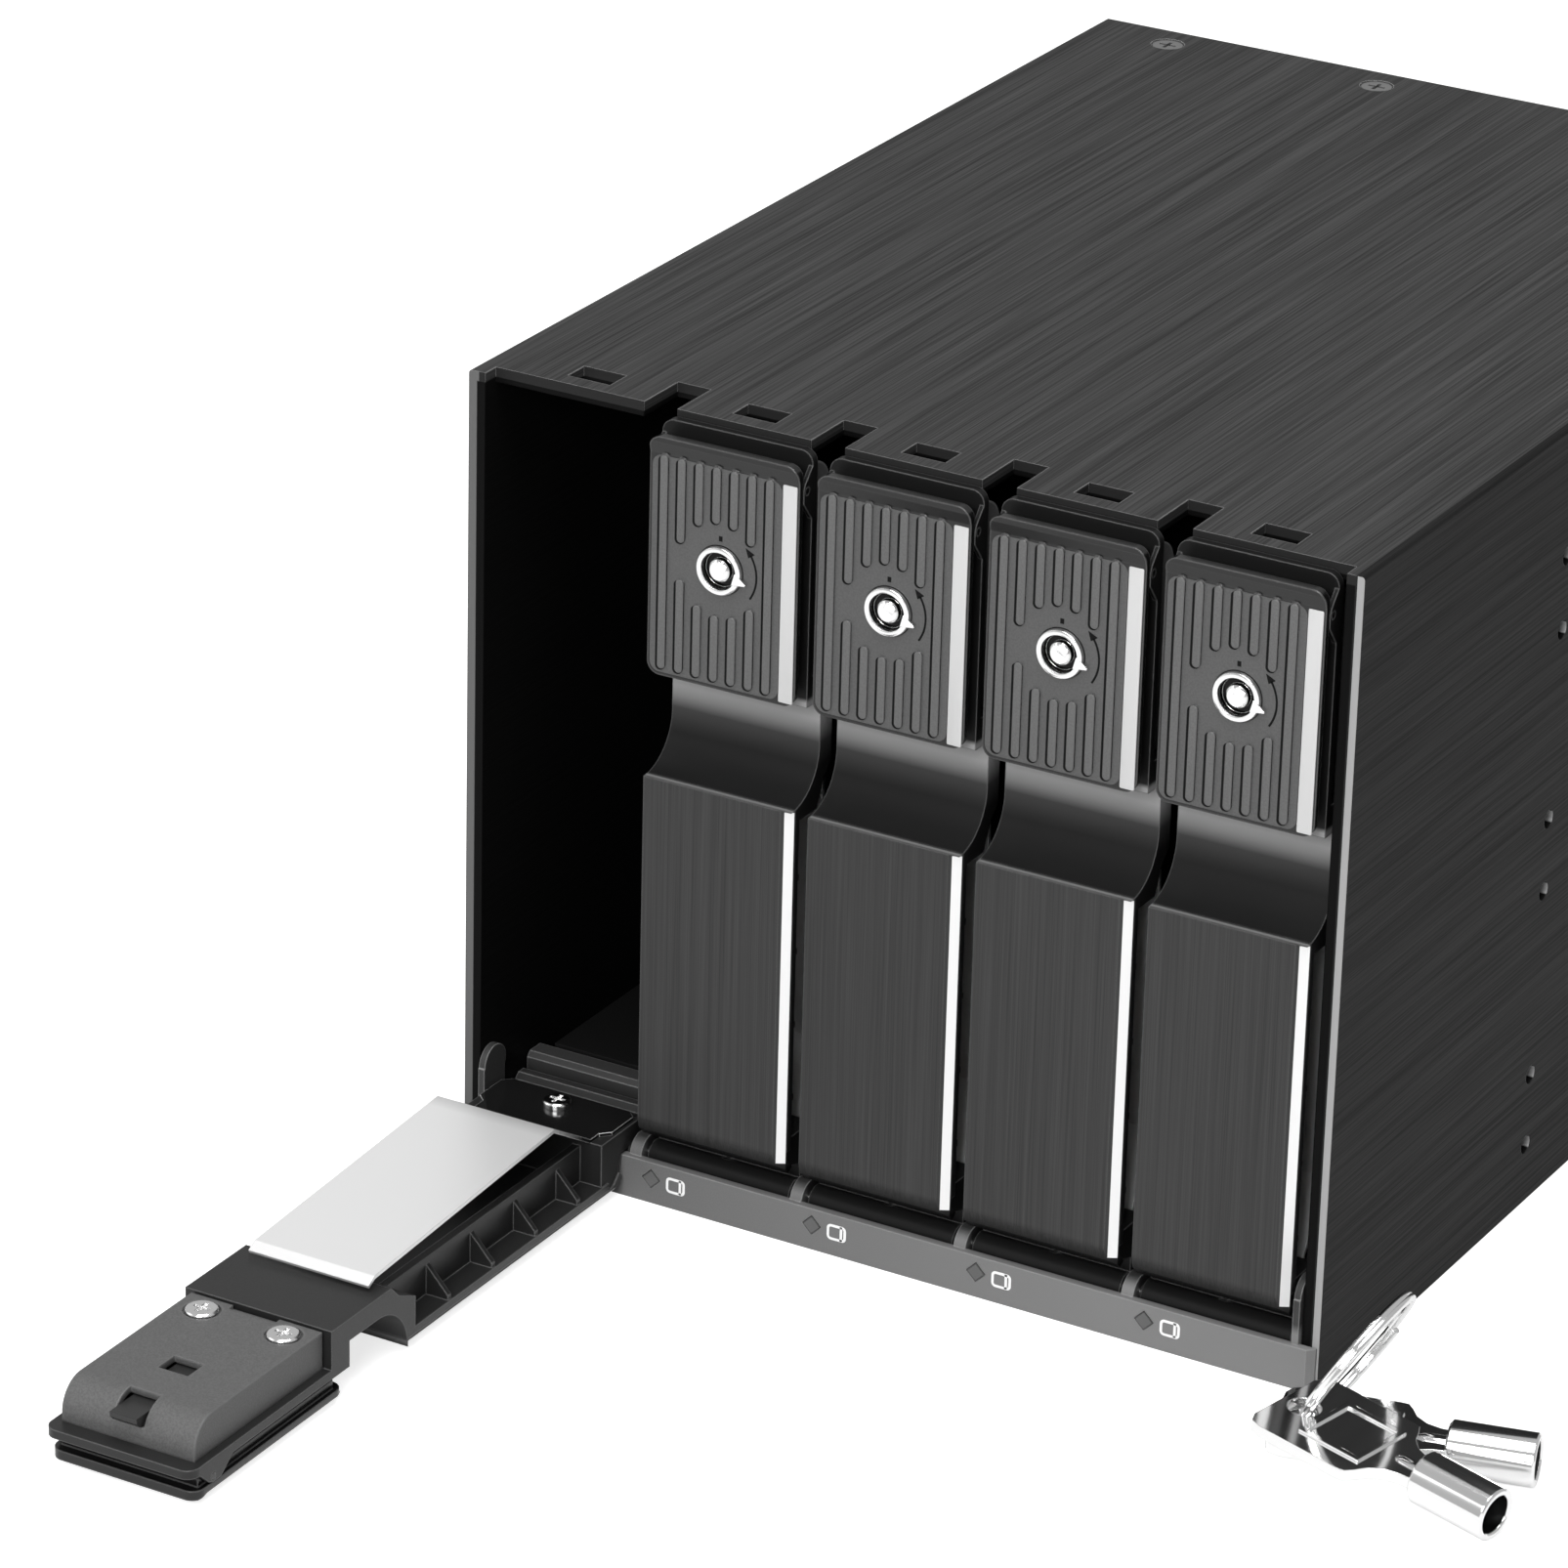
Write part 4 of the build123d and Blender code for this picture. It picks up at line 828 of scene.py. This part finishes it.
def strengthByRay(nodeSet, links, room, camera, glossy):
    # What lights the object, what the camera sees, and what polished metal mirrors
    path = nodeSet.new("ShaderNodeLightPath")
    total = None
    rays = (("Is Camera Ray", camera), ("Is Transmission Ray", camera), ("Is Glossy Ray", glossy))
    for kind, strength in rays:
        add = nodeSet.new("ShaderNodeMath")
        add.operation = "MULTIPLY_ADD"
        add.inputs[1].default_value = strength - room
        add.inputs[2].default_value = room
        links.new(path.outputs[kind], add.inputs[0])
        if total is not None:
            links.new(total, add.inputs[2])
        total = add.outputs["Value"]
    return total


def makeWorld(room, glossy):
    world = bpy.data.worlds.new("studio")
    bpy.context.scene.world = world
    world.use_nodes = True
    nodeSet, links = world.node_tree.nodes, world.node_tree.links
    sky = nodeSet["Background"]
    sky.inputs["Color"].default_value = (1, 1, 1, 1)
    links.new(strengthByRay(nodeSet, links, room, 1.0, glossy), sky.inputs["Strength"])


makeWorld(0.2, 0.5)

floorSetup = {"tone": grey(0.6), "rough": 0.8, "seen": 0.75, "mirrored": 0.3, "size": 6.0, "drop": 0.0001}


def makeFloor(s):
    material, nodeSet, links, shader = nodeMaterial("whiteTable")
    setShader(shader, s["tone"], s["rough"], 0.0, 0.1)
    glow = nodeSet.new("ShaderNodeEmission")
    links.new(strengthByRay(nodeSet, links, 0.0, s["seen"], s["mirrored"]), glow.inputs["Strength"])
    total = nodeSet.new("ShaderNodeAddShader")
    links.new(shader.outputs["BSDF"], total.inputs[0])
    links.new(glow.outputs["Emission"], total.inputs[1])
    links.new(total.outputs["Shader"], nodeSet["Material Output"].inputs["Surface"])
    part = bmesh.new()
    bmesh.ops.create_grid(part, x_segments=1, y_segments=1, size=s["size"])
    movePart(part, 0, 0, -s["drop"])
    mesh = bpy.data.meshes.new("floor")
    part.to_mesh(mesh)
    part.free()
    mesh.materials.append(material)
    floor = bpy.data.objects.new("floor", mesh)
    bpy.context.scene.collection.objects.link(floor)


makeFloor(floorSetup)
bpy.context.scene.view_settings.view_transform = "Standard"
print("studio made")
